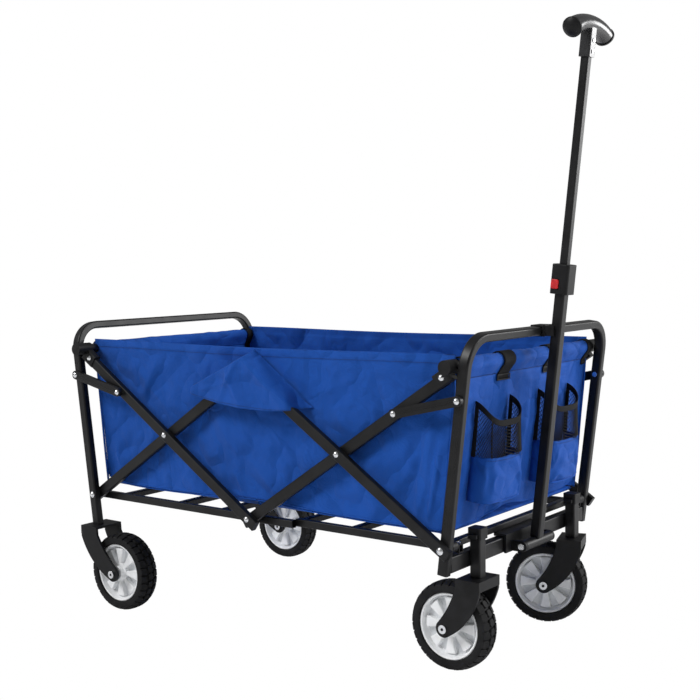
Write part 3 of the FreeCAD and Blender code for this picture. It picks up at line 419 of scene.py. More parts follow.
def ridge(p, q, start, end, width, height):
    """Height of a soft fold that runs from start to end, at the point (p, q) of a cloth."""
    run = (end[0] - start[0], end[1] - start[1])
    length = math.hypot(*run)
    along = ((p - start[0]) * run[0] + (q - start[1]) * run[1]) / length ** 2
    if not 0.0 < along < 1.0:
        return 0.0
    across = ((p - start[0]) * run[1] - (q - start[1]) * run[0]) / length
    fade = math.sin(math.pi * along) ** 0.7
    sharp = math.exp(-abs(across) / width) * 0.55 + math.exp(-(across / width) ** 2) * 0.45
    return height * fade * sharp


def rumple(p, q, seed, size):
    """Soft uneven swell of cloth, from -1 to 1, with features of that size in metres."""
    return noise.noise(Vector((p / size, q / size, seed))) + 0.5 * noise.noise(
        Vector((2.3 * p / size, 2.3 * q / size, seed + 7.0))
    )


def lathe(profile, steps):
    """Points and faces of a profile of (radius, y) turned about the Y axis."""
    points, faces = [], []
    for i in range(steps):
        angle = 2 * math.pi * i / steps
        for radius, y in profile:
            points.append(Vector((radius * math.cos(angle), y, radius * math.sin(angle))))
    size = len(profile)
    for i in range(steps):
        for k in range(size - 1):
            a, b = i * size + k, ((i + 1) % steps) * size + k
            faces.append((a, a + 1, b + 1, b))
    return points, faces


# ---- CAD nodes that stay, with better finishes --------------------------------------------------
BEVELLED = ("rear_fork_left", "rear_fork_right", "caster_fork_left", "caster_fork_right", "front_beam",
            "caster_tubes", "caster_tube_caps", "handle_bracket", "handle_collar", "handle_clip",
            "release_button", "rear_rail_sockets", "front_rail_sockets", "rear_spacers", "front_spacers")


def finish_node(name, node, material):
    node.data.materials.clear()
    node.data.materials.append(material)
    node.data.polygons.foreach_set("use_smooth", [True] * len(node.data.polygons))
    weld = node.modifiers.new("weld", "WELD")
    weld.merge_threshold = 0.01 * MM
    width, segments, limit = (0.9 * MM, 2, 35) if name in BEVELLED else (0.25 * MM, 1, 40)
    bevel = node.modifiers.new("edges", "BEVEL")
    bevel.width, bevel.segments = width, segments
    bevel.limit_method, bevel.angle_limit = "ANGLE", math.radians(limit)
    node.modifiers.new("shading", "WEIGHTED_NORMAL")


def finish_nodes():
    slots = {row["node"]: row["material_slot"] for row in frame["record"]["subparts"]}
    for name, node in frame["nodes"].items():
        finish_node(name, node, LOOKS[slots[name]])


# ---- wheels -------------------------------------------------------------------------------------
WHEEL_RADIUS = across_of("rear_tyre_left").z / 2
WHEEL_HALF = across_of("rear_tyre_left").y / 2
RIM_RADIUS = across_of("rear_rim_left").z / 2
GROOVE = 3.2 * MM
LUGS = 30
WHEEL_STEPS = 96
BLADES = 8


def tread_radius(y):
    """Radius of the tread's surface across the tyre."""
    share = abs(y) / WHEEL_HALF
    return WHEEL_RADIUS - 5.5 * MM * share ** 3.2


def tread_block(points, faces, outline):
    """Raised block with a bevelled top from an outline of (angle, y)."""
    mid_a = sum(a for a, _ in outline) / len(outline)
    mid_y = sum(y for _, y in outline) / len(outline)
    first = len(points)
    size = len(outline)
    for share, height in ((1.04, -GROOVE - 0.6 * MM), (1.0, -0.7 * MM), (0.90, 0.0)):
        for angle, y in outline:
            a = mid_a + (angle - mid_a) * share
            b = mid_y + (y - mid_y) * share
            radius = tread_radius(b) + height
            points.append(Vector((radius * math.cos(a), b, radius * math.sin(a))))
    for ring in (0, 1):
        for k in range(size):
            a = first + ring * size + k
            b = first + ring * size + (k + 1) % size
            faces.append((a, b, b + size, a + size))
    faces.append(tuple(first + 2 * size + k for k in range(size)))


def tyre_mesh():
    """Tyre with a smooth sidewall and three staggered rows of chunky blocks."""
    crown = [(tread_radius(y * WHEEL_HALF) - GROOVE, y * WHEEL_HALF) for y in (-0.86, -0.5, 0.0, 0.5, 0.86)]
    side = [(RIM_RADIUS - 0.3 * MM, 0.84), (RIM_RADIUS + 1.2 * MM, 0.97), (RIM_RADIUS + 4 * MM, 1.0),
            (RIM_RADIUS + 9 * MM, 0.985), (RIM_RADIUS + 12.5 * MM, 0.95)]
    profile = [(r, -y * WHEEL_HALF) for r, y in side] + crown
    profile += [(r, y * WHEEL_HALF) for r, y in reversed(side)]
    points, faces = lathe(profile, WHEEL_STEPS)
    pitch = 2 * math.pi / LUGS
    for index in range(LUGS):
        angle = pitch * index
        for hand in (-1, 1):
            inner, outer = 0.40 * WHEEL_HALF * hand, 0.97 * WHEEL_HALF * hand
            middle = angle + hand * 0.25 * pitch
            tread_block(points, faces, [
                (middle - 0.34 * pitch, inner), (middle + 0.30 * pitch, inner),
                (middle + 0.45 * pitch, (inner + outer) / 2), (middle + 0.42 * pitch, outer),
                (middle - 0.42 * pitch, outer), (middle - 0.42 * pitch, (inner + outer) / 2),
            ])
        reach = 0.30 * WHEEL_HALF
        tread_block(points, faces, [
            (angle - 0.42 * pitch, -0.5 * reach), (angle - 0.12 * pitch, -reach),
            (angle + 0.36 * pitch, -0.8 * reach), (angle + 0.42 * pitch, 0.5 * reach),
            (angle + 0.12 * pitch, reach), (angle - 0.36 * pitch, 0.8 * reach),
        ])
    return points, faces


def rim_ring_mesh():
    """Deep rim ring with a rounded lip on both sides."""
    edge = 0.80 * WHEEL_HALF
    half = [
        (RIM_RADIUS - 0.2 * MM, edge - 2.0 * MM), (RIM_RADIUS - 0.6 * MM, edge),
        (RIM_RADIUS - 2.0 * MM, edge + 0.9 * MM), (RIM_RADIUS - 4.2 * MM, edge),
        (RIM_RADIUS - 5.2 * MM, edge - 2.5 * MM), (RIM_RADIUS - 6.5 * MM, 8.0 * MM),
        (RIM_RADIUS - 9.0 * MM, 4.4 * MM),
    ]
    profile = half + [(r, -y) for r, y in reversed(half)]
    return lathe(profile, WHEEL_STEPS)


def rim_web_mesh():
    reach = RIM_RADIUS - 8.0 * MM
    profile = [(reach, 3.6 * MM), (16.0 * MM, 3.2 * MM), (16.0 * MM, -3.2 * MM), (reach, -3.6 * MM)]
    return lathe(profile, WHEEL_STEPS)


def blade_mesh():
    """Broad wedge blades on both sides of the web, and the hub with its collar."""
    points, faces = [], []
    pitch = 2 * math.pi / BLADES
    steps = 6
    reach = RIM_RADIUS / MM - 9.5
    for index in range(BLADES):
        for hand in (-1, 1):
            first = len(points)
            for depth, inset in ((2.8, 0.0), (11.4, 0.0), (12.4, 1.1)):
                for radius, order in ((18.0 + inset, 1), (reach - inset, -1)):
                    half = 0.27 * pitch - inset / radius
                    for k in range(steps + 1):
                        angle = pitch * index + order * half * (2 * k / steps - 1)
                        points.append(Vector((radius * MM * math.cos(angle), hand * depth * MM,
                                              radius * MM * math.sin(angle))))
            size = 2 * (steps + 1)
            for ring in (0, 1):
                for k in range(size):
                    a, b = first + ring * size + k, first + ring * size + (k + 1) % size
                    faces.append((a, b, b + size, a + size))
            for k in range(steps):
                a = first + 2 * size + k
                b = first + 2 * size + size - 1 - k
                faces.append((a, a + 1, b - 1, b))
    hub = [(5.4 * MM, 22.0 * MM), (12.6 * MM, 22.0 * MM), (13.6 * MM, 21.2 * MM), (14.4 * MM, 14.0 * MM),
           (18.5 * MM, 12.8 * MM), (19.0 * MM, 11.5 * MM), (19.0 * MM, 3.0 * MM)]
    profile = hub + [(r, -y) for r, y in reversed(hub)]
    more_points, more_faces = lathe(profile, 48)
    shift = len(points)
    points += more_points
    faces += [tuple(i + shift for i in face) for face in more_faces]
    return points, faces


def sharpen(piece):
    """Crisp edges where faces meet at more than 38 degrees."""
    shading = piece.modifiers.new("edges", "EDGE_SPLIT")
    shading.split_angle = math.radians(38)
    apply_modifiers(piece)


def wheel(body, tyre_node, rim_node, turned):
    """One wheel's tyre and rim in place of the CAD ones; turned is its heading about Z."""
    centre = middle_of(tyre_node)
    place = Matrix.Translation(centre) @ Matrix.Rotation(turned, 4, "Z")
    parts = (
        ("_tread", tyre_mesh, LOOKS["tyre"], "tyre", tyre_node),
        ("_ring", rim_ring_mesh, LOOKS["rim"], "rim", rim_node),
        ("_web", rim_web_mesh, RIM_WEB, "rim", rim_node),
        ("_blades", blade_mesh, LOOKS["rim"], "rim", rim_node),
    )
    for suffix, make, material, slot, node in parts:
        points, faces = make()
        piece = mesh_piece(body + suffix, [place @ p for p in points], faces, material, slot, body)
        sharpen(piece)
        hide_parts(node)


def caster_heading(side):
    """Angle that a caster is turned by at rest, from its wheel's axis."""
    spin = next(j for j in frame["joints"] if j["name"] == "front_wheel_spin_" + side)
    return math.atan2(-spin["axis"][0], spin["axis"][1])


def wheels():
    for side in ("left", "right"):
        wheel("rear_wheel_" + side, "rear_tyre_" + side, "rear_rim_" + side, 0.0)
        wheel("front_wheel_" + side, "front_tyre_" + side, "front_rim_" + side, caster_heading(side))


# ---- fabric tub ---------------------------------------------------------------------------------
CLOTH = 1.1 * MM
HEM_DROP = 15 * MM
WELT_RADIUS = 1.7 * MM


def hem_height(x):
    """Top edge of the side walls: tight at the rails, a little slack between."""
    return RAIL_Z + RAIL_RADIUS + 9.5 * MM - 3.5 * MM * math.cos(math.pi * x / (2 * RAIL_X)) ** 2


def foot_height(x):
    """Lower edge of the side walls, which rises where the cloth is drawn up."""
    rise = 9 * math.exp(-((x + 0.015) / 0.12) ** 2) + 9 * math.exp(-((x + 0.41) / 0.05) ** 2)
    return FOOT_Z + (1.5 + rise) * MM


SIDE_FOLDS = (
    ((-0.02, 0.33), (0.07, 0.255), 0.010, 2.6), ((-0.05, 0.30), (-0.03, 0.25), 0.007, 2.2),
    ((0.12, 0.45), (0.26, 0.50), 0.012, 2.6), ((0.10, 0.53), (0.06, 0.47), 0.008, 1.8),
    ((0.20, 0.53), (0.17, 0.46), 0.009, 1.6), ((0.39, 0.44), (0.35, 0.25), 0.008, 4.4),
    ((0.405, 0.40), (0.375, 0.26), 0.004, 3.2), ((0.33, 0.33), (0.39, 0.42), 0.012, 2.6),
    ((-0.24, 0.52), (-0.30, 0.42), 0.012, 2.4), ((-0.33, 0.50), (-0.22, 0.40), 0.010, 2.0),
    ((-0.38, 0.34), (-0.36, 0.26), 0.010, 3.0), ((-0.16, 0.31), (-0.20, 0.26), 0.009, 2.0),
    ((0.02, 0.41), (0.10, 0.33), 0.013, 2.2), ((-0.10, 0.40), (-0.02, 0.31), 0.014, 2.0),
    ((0.22, 0.30), (0.30, 0.38), 0.012, 2.0), ((0.28, 0.47), (0.38, 0.40), 0.012, 2.2),
)


def sharp_rumple(p, q, seed, size):
    """Uneven cloth that meets in sharp creases, from 0 up to about 1."""
    return 1.0 - 2.2 * abs(noise.noise(Vector((p / size, q / size, seed))))


def side_relief(x, z, hand):
    """How far a side wall stands out at a point, in metres."""
    swell = 2.4 * rumple(x, z, 3.0 + hand, 0.11) + 1.0 * rumple(x, z, 9.0 + hand, 0.035)
    swell += 1.5 * sharp_rumple(x + 0.4 * z, z, 15.0 + hand, 0.060) - 0.8
    if hand > 0:
        x = -x * 0.92
    folds = sum(ridge(x, z, *spec) for spec in SIDE_FOLDS)
    top = smooth_step(z, RAIL_Z + 10 * MM, RAIL_Z - 30 * MM)
    foot = smooth_step(z, FOOT_Z, FOOT_Z + 22 * MM)
    ends = smooth_step(abs(x), RAIL_X, RAIL_X - 40 * MM)
    out = (1.5 * swell + 2.2 * folds - 2.8) * top * foot * ends * MM
    return max(-9 * MM, min(4.2 * MM, out))


def side_point(u, v, hand):
    """Point of a side wall, from rear to front with u and from foot to hem with v."""
    foot_x = (2 * u - 1) * (FOOT_X - 1 * MM)
    top_x = (2 * u - 1) * (RAIL_X + 1 * MM)
    x = foot_x + (top_x - foot_x) * v
    low, high = foot_height(x), hem_height(x)
    z = low + (high - low) * v
    hem = 1.2 * MM * smooth_step(z, high - HEM_DROP - 1 * MM, high - HEM_DROP + 0.6 * MM)
    return at(x, hand * (WALL_Y + side_relief(x, z, hand) + hem), z)


def crumple_with_fold(piece):
    """Gives a piece of the tub's sides a mesh of its own."""
    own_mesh(piece)


def side_wall(side, hand):
    name = "side_wall_" + side
    wall = grid_piece(name, 260, 90, lambda u, v: side_point(u, v, hand), LOOKS["blue_fabric"],
                      "blue_fabric", "rear_rail")
    thicken(wall, CLOTH)
    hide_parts("side_panel_" + side)
    outward = Vector((0, hand, 0))
    route = []
    for k in range(201):
        u = 0.01 + 0.98 * k / 200
        x = (2 * u - 1) * RAIL_X
        z = hem_height(x) - HEM_DROP
        route.append(at(x, hand * (WALL_Y + side_relief(x, z, hand) + 1.3 * MM), z))
    hem_row = stitches("hem_stitches_" + side, route, outward, "rear_rail")
    welt = tube_piece("foot_welt_" + side, [side_point(k / 120, 0.004, hand) for k in range(121)],
                      WELT_RADIUS, LOOKS["blue_fabric"], "blue_fabric", "rear_rail")
    for piece in (wall, hem_row, welt):
        crumple_with_fold(piece)


# ---- centre flaps -------------------------------------------------------------------------------
FLAP_APEX = (0.003, 0.533)
FLAP_TIPS = ((-0.159, 0.458), (0.137, 0.436))
FLAP_LOW = (0.002, 0.430)
FLAP_OFF = 36.0            # millimetres that the flap stands out from the wall, over the bars


def flap_edge(u, upper):
    """Point (x, z) on the flap's sewn upper edges or on its curved lower edge."""
    left, right = FLAP_TIPS
    if upper:
        if u < 0.5:
            return (left[0] + (FLAP_APEX[0] - left[0]) * 2 * u, left[1] + (FLAP_APEX[1] - left[1]) * 2 * u)
        t = 2 * u - 1
        return (FLAP_APEX[0] + (right[0] - FLAP_APEX[0]) * t, FLAP_APEX[1] + (right[1] - FLAP_APEX[1]) * t)
    x = left[0] + (right[0] - left[0]) * u
    chord = left[1] + (right[1] - left[1]) * u
    middle = (left[1] + right[1]) / 2
    return (x, chord + (FLAP_LOW[1] - middle) * math.sin(math.pi * u) ** 0.8)


def flap_point(u, v, hand):
    top, low = flap_edge(u, True), flap_edge(u, False)
    x = top[0] + (low[0] - top[0]) * v
    z = top[1] + (low[1] - top[1]) * v
    depth = (top[1] - low[1]) * v
    off = FLAP_OFF * smooth_step(depth, 0.0, 15 * MM) * smooth_step(min(u, 1 - u), 0.0, 0.12)
    tent = 2.6 * rumple(x, z, 21.0, 0.05) * smooth_step(depth, 4 * MM, 30 * MM)
    folds = ridge(x, z, (0.0, 0.53), (-0.06, 0.43), 0.006, 4.5)
    folds += ridge(x, z, (-0.04, 0.50), (0.0, 0.43), 0.006, 4.0)
    folds += ridge(x, z, (0.0, 0.535), (0.10, 0.435), 0.012, 6.5)
    folds += ridge(x, z, (-0.13, 0.452), (-0.02, 0.475), 0.006, 3.0)
    out = max(0.0, off + (max(-1.5, tent) + folds) * smooth_step(off, 2.0, 16.0))
    return at(x, hand * (WALL_Y + 1.4 * MM + out * MM), z)


def flap(side, hand):
    name = "flap_" + side
    sheet = grid_piece(name, 96, 44, lambda u, v: flap_point(u, v, hand), LOOKS["blue_fabric"],
                       "blue_fabric", "rear_rail")
    thicken(sheet, CLOTH)
    outward = Vector((0, hand, 0))
    rows = []
    for depth in (0.05, 0.11):
        route = [flap_point(0.02 + 0.96 * k / 160, depth, hand) + outward * 0.6 * MM for k in range(161)]
        rows.append(stitches(f"flap_stitches_{side}_{round(depth * 100)}", route, outward, "rear_rail"))
    lower = [flap_point(0.03 + 0.94 * k / 100, 0.955, hand) + outward * 0.6 * MM for k in range(101)]
    rows.append(stitches(f"flap_hem_{side}", lower, outward, "rear_rail"))
    for piece in [sheet] + rows:
        crumple_with_fold(piece)


# ---- end walls ----------------------------------------------------------------------------------
SLEEVE = RAIL_RADIUS + 3.0 * MM
SEAM_BELOW = 21 * MM


def panel_frame(end, across, up, y):
    """Point of an end wall: across stands outward from its plane, up runs along it from the rail."""
    x = RAIL_X + across * math.cos(PANEL_LEAN) + up * math.sin(PANEL_LEAN)
    z = RAIL_Z - across * math.sin(PANEL_LEAN) + up * math.cos(PANEL_LEAN)
    return at(end * x, y, z)


def end_foot(y):
    """How far up the lower edge of an end wall is drawn, unevenly from side to side."""
    return (12 * math.exp(-((y + 0.03) / 0.07) ** 2) + 7 * math.exp(-((y - 0.13) / 0.05) ** 2)
            + 14 * smooth_step(y, 0.15, 0.23)) * MM


END_FOLDS = (
    ((-0.20, -0.06), (-0.18, -0.22), 0.010, 2.4), ((0.02, -0.03), (0.00, -0.20), 0.012, 2.6),
    ((-0.02, -0.24), (-0.12, -0.16), 0.010, 2.2), ((0.20, -0.05), (0.21, -0.24), 0.009, 2.6),
    ((-0.15, -0.255), (-0.05, -0.24), 0.008, 2.4), ((0.05, -0.25), (0.18, -0.23), 0.008, 2.0),
)
PANEL_DROP = (RAIL_Z - FOOT_Z) / math.cos(PANEL_LEAN)


def end_relief(y, up, end):
    swell = 2.2 * rumple(y, up, 31.0 + end, 0.10) + 0.8 * rumple(y, up, 37.0 + end, 0.03)
    folds = sum(ridge(y, up, *spec) for spec in END_FOLDS)
    free = smooth_step(-up, SEAM_BELOW, SEAM_BELOW + 25 * MM)
    free *= smooth_step(abs(y), WALL_Y, WALL_Y - 25 * MM)
    return max(-7 * MM, min(7 * MM, (1.5 * swell + 1.7 * folds) * free * MM))


def end_point(y, v, end):
    """Point of an end wall's main sheet, from its foot at v = 0 to the seam below the rail at 1."""
    low = -PANEL_DROP + end_foot(y * end)
    up = low + (-SEAM_BELOW - low) * v
    return panel_frame(end, end_relief(y, up, end), up, y)


def sleeve_point(u, v, end):
    """Point of the cloth sleeve round a rail, from the seam over the top and back to it."""
    half = WALL_Y - 2.0 * MM
    y = (2 * u - 1) * half
    turn = math.radians(-62 + 304 * v)
    sag = 1.0 + 0.12 * rumple(y, v * 0.05, 51.0 + end, 0.05)
    radius = SLEEVE * sag
    across, up = radius * math.cos(turn), radius * math.sin(turn)
    pinch = smooth_step(abs(v - 0.5), 0.40, 0.5)
    across = across * (1 - pinch) + 0.8 * MM * pinch * (1 if v < 0.5 else -1)
    up = up * (1 - pinch) - (SEAM_BELOW + 1.5 * MM) * pinch
    return panel_frame(end, across, up, y)


def end_wall(name, node, body, end):
    half = WALL_Y - 1.5 * MM
    wall = grid_piece(name, 150, 84, lambda u, v: end_point((2 * u - 1) * half, v, end), LOOKS["blue_fabric"],
                      "blue_fabric", body)
    thicken(wall, CLOTH)
    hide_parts(node)
    sleeve = grid_piece(name + "_sleeve", 150, 40, lambda u, v: sleeve_point(u, v, end), LOOKS["blue_fabric"],
                        "blue_fabric", body)
    thicken(sleeve, CLOTH)
    outward = Vector((end * math.cos(PANEL_LEAN), 0, -math.sin(PANEL_LEAN)))
    for drop in (1.0, 5.0):
        route = [panel_frame(end, 1.3 * MM, -SEAM_BELOW + (3.0 - drop) * MM, (k / 100 - 1) * (half - 3 * MM))
                 for k in range(201)]
        stitches(f"{name}_seam_{round(drop)}", route, outward, body)
    edge = [end_point((k / 60 - 1) * half, 0.004, end) for k in range(121)]
    welt = tube_piece(name + "_welt", edge, WELT_RADIUS, LOOKS["blue_fabric"], "blue_fabric", body)


def corner_welt(side, hand, end, body):
    """Upright welted seam where a side wall meets an end wall."""
    route = []
    for k in range(41):
        up = -PANEL_DROP + (PANEL_DROP - 12 * MM) * k / 40
        bow = 2.2 * MM * math.sin(math.pi * k / 40) * (1 + 0.4 * math.sin(9.0 * k / 40))
        route.append(panel_frame(end, bow, up, hand * (WALL_Y + 1.2 * MM - 0.5 * bow)))
    where = "front" if end > 0 else "rear"
    tube_piece(f"corner_welt_{where}_{side}", route, 2.1 * MM, LOOKS["blue_fabric"], "blue_fabric", body)


# ---- webbing straps and corner loops ------------------------------------------------------------
STRAP_WIDTH = 38 * MM
STRAP_THICKNESS = 1.3 * MM
STRAP_PLACES = (-0.081, 0.081)
LOOP_WIDTH = 17 * MM


def strap_path(tail):
    """Cross-section (across, up) of a strap over a rail, from its outer tail over the top to the inner."""
    radius = SLEEVE + 2.2 * MM
    path = [(1.6 * MM, -tail), (1.8 * MM, -SEAM_BELOW - 3 * MM)]
    for k in range(25):
        turn = math.radians(-48 + 276 * k / 24)
        path.append((radius * math.cos(turn), radius * math.sin(turn)))
    path += [(-1.8 * MM, -SEAM_BELOW - 3 * MM), (-1.6 * MM, -tail)]
    return path


def strap(name, y, width, tail, end, body):
    path = strap_path(tail)

    def place(u, v):
        position = v * (len(path) - 1)
        k = min(int(position), len(path) - 2)
        t = position - k
        across = path[k][0] + (path[k + 1][0] - path[k][0]) * t
        up = path[k][1] + (path[k + 1][1] - path[k][1]) * t
        return panel_frame(end, across, up, y + (u - 0.5) * width)

    band = grid_piece(name, 8, (len(path) - 1) * 2, place, WEBBING, "black_plastic", body)
    thicken(band, STRAP_THICKNESS)


def ring_bar(name, y, width, end, body):
    """Flat slide under a strap's outer tail: a frame of two bars and two ends."""
    points, faces = [], []
    half, tall, deep = width / 2 + 2.5 * MM, 5.5 * MM, 1.6 * MM
    centre = -SEAM_BELOW - 9 * MM
    for inner in (False, True):
        a = half - (2.6 * MM if inner else 0.0)
        b = tall - (2.4 * MM if inner else 0.0)
        for across in (2.6 * MM, 2.6 * MM + deep):
            for sy, sz in ((-1, -1), (1, -1), (1, 1), (-1, 1)):
                points.append(panel_frame(end, across, centre + sz * b, y + sy * a))
    for k in range(4):
        n = (k + 1) % 4
        faces += [(k, n, n + 4, k + 4), (8 + n, 8 + k, 12 + k, 12 + n), (4 + k, 4 + n, 12 + n, 12 + k),
                  (n, k, 8 + k, 8 + n)]
    slide = mesh_piece(name, points, faces, LOOKS["black_plastic"], "black_plastic", body)
    rounding = slide.modifiers.new("rounding", "BEVEL")
    rounding.width, rounding.segments = 0.5 * MM, 2


def straps():
    for index, y in enumerate(STRAP_PLACES):
        strap(f"front_strap_{index}", y, STRAP_WIDTH, SEAM_BELOW + 15 * MM, 1, "front_rail")
        ring_bar(f"front_slide_{index}", y, STRAP_WIDTH, 1, "front_rail")
    for end, body in ((1, "front_rail"), (-1, "rear_rail")):
        for side, hand in (("left", 1), ("right", -1)):
            place = hand * (WALL_Y - 11 * MM)
            where = "front" if end > 0 else "rear"
            strap(f"{where}_corner_loop_{side}", place, LOOP_WIDTH, SEAM_BELOW + 12 * MM, end, body)


# ---- cup pockets --------------------------------------------------------------------------------
POCKET_HALF = (POCKET_HIGH.y - POCKET_LOW.y) / 2
POCKET_MIDDLE = (POCKET_HIGH.y + POCKET_LOW.y) / 2
POCKET_FOOT = -232 * MM
CUP_RIM = -155 * MM
NET_RIM = -87 * MM
PEAK_RIM = -66 * MM
POCKET_STAND = 43 * MM
CUP_TURN_IN = 0.26         # share of the cup's cloth that lies in its floor
NET_CELLS = (30, 11)
NET_STRAND = 1.4 * MM
TAPE = 1.8 * MM


def pocket_plan(s, stand, half):
    """Plan of a pocket (across, y) from one attached edge round to the other: a squared half oval."""
    turn = math.pi * s
    y = -half * math.copysign(abs(math.cos(turn)) ** 0.5, math.cos(turn))
    return stand * abs(math.sin(turn)) ** 0.5, y


def pocket_point(s, up, hand):
    """Point of a pocket's skin; up is measured along the wall from the rail."""
    height = (up - POCKET_FOOT) / (NET_RIM - POCKET_FOOT)
    stand = POCKET_STAND - 9 * MM * smooth_step(height, 0.3, 1.0)
    half = POCKET_HALF * (1.0 - 0.09 * smooth_step(height, 0.0, 1.0))
    across, y = pocket_plan(s, stand, half)
    return panel_frame(1, across + 1.2 * MM, up, hand * POCKET_MIDDLE + y)


def cup_point(s, v, hand, seed):
    """Cloth cup from the middle of its floor at v = 0, out, and up to its hem at 1."""
    if v < CUP_TURN_IN:
        t = v / CUP_TURN_IN
        edge = pocket_point(s, POCKET_FOOT, hand)
        middle = hand * POCKET_MIDDLE
        inner = panel_frame(1, 1.5 * MM, POCKET_FOOT + 4 * MM, middle + (edge.y - middle) * 0.7)
        lift = 5 * MM * (1 - t ** 3)
        return inner.lerp(edge, math.sin(t * math.pi / 2)) + Vector((0, 0, lift - 1.0 * MM))
    t = (v - CUP_TURN_IN) / (1 - CUP_TURN_IN)
    rounded = 5 * MM * (1 - min(1.0, t / 0.12)) ** 2
    up = POCKET_FOOT + (CUP_RIM - POCKET_FOOT) * t
    point = pocket_point(s, up, hand)
    free = smooth_step(min(s, 1 - s), 0.0, 0.10)
    crush = 4.0 * sharp_rumple(s * 0.2, up, seed, 0.032) - 2.0
    crush -= 3.5 * ridge(s, up * 4, (0.52, -0.70), (0.66, -0.92), 0.05, 1.0)
    out = Vector((math.cos(PANEL_LEAN), 0, 0)) * (crush * free * MM * math.sin(math.pi * s))
    return point + out - Vector((rounded * math.sin(math.pi * s), 0, 0))


def net_rim(s):
    """Top of the net: low across its front and rising to a peak at both attached edges."""
    near_wall = 1 - abs(math.sin(math.pi * s)) ** 0.7
    return NET_RIM - 10 * MM * math.sin(math.pi * s) ** 2 + (PEAK_RIM - NET_RIM) * near_wall


def net_piece(name, hand):
    """Open diamond net from the cup's hem to the binding."""
    across_cells, up_cells = NET_CELLS
    points, faces = [], []
    index = {}
    for j in range(2 * up_cells + 1):
        for i in range(2 * across_cells + 1):
            if (i + j) % 2:
                continue
            s = i / (2 * across_cells)
            low, high = CUP_RIM - 3 * MM, net_rim(s)
            up = low + (high - low) * j / (2 * up_cells)
            index[i, j] = len(points)
            points.append(pocket_point(s, up, hand))
    for i, j in index:
        corners = [(i, j), (i + 1, j + 1), (i, j + 2), (i - 1, j + 1)]
        if all(c in index for c in corners):
            faces.append(tuple(index[c] for c in corners))
    net = mesh_piece(name, points, faces, NET, "pocket_fabric", "front_rail")
    strands = net.modifiers.new("strands", "WIREFRAME")
    strands.thickness = NET_STRAND
    strands.use_even_offset = False
    apply_modifiers(net)
    return net


def binding(name, hand, low, high, s_values):
    """Black tape that binds a pocket's rim or covers its upright edges."""
    def place(u, v):
        s = s_values[0] + (s_values[1] - s_values[0]) * u
        bottom, top = low(s), high(s)
        point = pocket_point(s, bottom + (top - bottom) * v, hand)
        return point + Vector((0.8 * MM * math.sin(math.pi * s), 0, 0))

    tape = grid_piece(name, 64, 8, place, WEBBING, "black_plastic", "front_rail")
    thicken(tape, TAPE)
    return tape


def cup_pocket(side, hand):
    seed = 61.0 + 5 * hand
    cup = grid_piece("cup_" + side, 84, 46, lambda u, v: cup_point(u, v, hand, seed), LOOKS["pocket_fabric"],
                     "pocket_fabric", "front_rail")
    thicken(cup, CLOTH)
    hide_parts("pocket_" + side)
    net = net_piece("net_" + side, hand)
    rim = binding("net_binding_" + side, hand, lambda s: net_rim(s) - 8 * MM,
                  lambda s: net_rim(s) + 2.5 * MM, (0.0, 1.0))
    edges = []
    for number, (first, last) in enumerate(((0.0, 0.012), (0.238, 0.256), (0.744, 0.762), (0.988, 1.0))):
        edges.append(binding(f"net_edge_{side}_{number}", hand, lambda s: CUP_RIM - 2 * MM,
                             lambda s: net_rim(s) - 4 * MM, (first, last)))
    hem = [cup_point(0.02 + 0.96 * k / 120, 0.955, hand, seed) + Vector((1.0 * MM, 0, 0)) for k in range(121)]
    sewn = stitches("cup_stitches_" + side, hem, Vector((1, 0, 0)), "front_rail")
    for piece in [cup, net, rim, sewn] + edges:
        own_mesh(piece)


# ---- floor --------------------------------------------------------------------------------------
def floor_point(u, v, end):
    """Top of a stiffened floor half: crowned a little, its edge drawn up to the walls."""
    x = end * (1.5 * MM + (FOOT_X - 5 * MM) * u)
    y = (2 * v - 1) * (WALL_Y - 1.5 * MM)
    swell = 0.7 * MM * rumple(x, y, 71.0, 0.08)
    lift = (foot_height(x) - FLOOR_Z - 1.0 * MM) * smooth_step(abs(y), WALL_Y - 14 * MM, WALL_Y - 1.5 * MM)
    border = 5.5 * MM
    edge = min(u * FOOT_X, (1 - u) * FOOT_X)
    crown = 1.2 * MM * smooth_step(edge, 0.0, border)
    return at(x, y, FLOOR_Z - 1.6 * MM + crown + swell * smooth_step(edge, border, 30 * MM) + lift)


def floor_half(name, node, body, end):
    board = grid_piece(name, 90, 90, lambda u, v: floor_point(u, v, end), LOOKS["blue_fabric"],
                       "blue_fabric", body)
    thicken(board, 2.6 * MM, -1.0 if end > 0 else 1.0)
    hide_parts(node)
    rows = []
    for inset in (9 * MM, FOOT_X - 14 * MM):
        share = inset / (FOOT_X - 5 * MM)
        lift = Vector((0, 0, 0.4 * MM))
        route = [floor_point(share, 0.02 + 0.96 * k / 160, end) + lift for k in range(161)]
        rows.append(stitches(f"{name}_stitches_{round(inset / MM)}", route, Vector((0, 0, 1)), body))


# ---- painted shade in the axle bolts' hex sockets -----------------------------------------------
def painted_socket_shade(name, face, along, body):
    """Black hexagon on the head of an axle bolt, standing a little proud, that paints the shade inside its hex
    socket; along points out of the head.
    """
    route = [face - along * (0.8 * MM), face + along * (0.25 * MM)]
    # painted shade: a black solid stands in for the shadowed hollow of the socket, which is not modelled
    tube_piece(name, route, 2.7 * MM, LOOKS["black_plastic"], "black_plastic", body, sides=6)


def painted_socket_shades():
    """Painted shade in the axle bolts' hex sockets. Every axle bolt has its head to the right; the left caster's
    bolt is turned with its fork.
    """
    length = across_of("caster_bolt_right").y
    for side in ("left", "right"):
        low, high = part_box("rear_axle_bolts")
        end = high.y - length if side == "left" else low.y
        face = Vector(((low.x + high.x) / 2, end, (low.z + high.z) / 2))
        painted_socket_shade("rear_socket_shade_" + side, face, Vector((0, -1, 0)), "rear_frame")
        turned = caster_heading(side)
        along = Vector((math.sin(turned), -math.cos(turned), 0))
        face = middle_of("caster_bolt_" + side) + along * (length / 2)
        painted_socket_shade("caster_socket_shade_" + side, face, along, "caster_" + side)


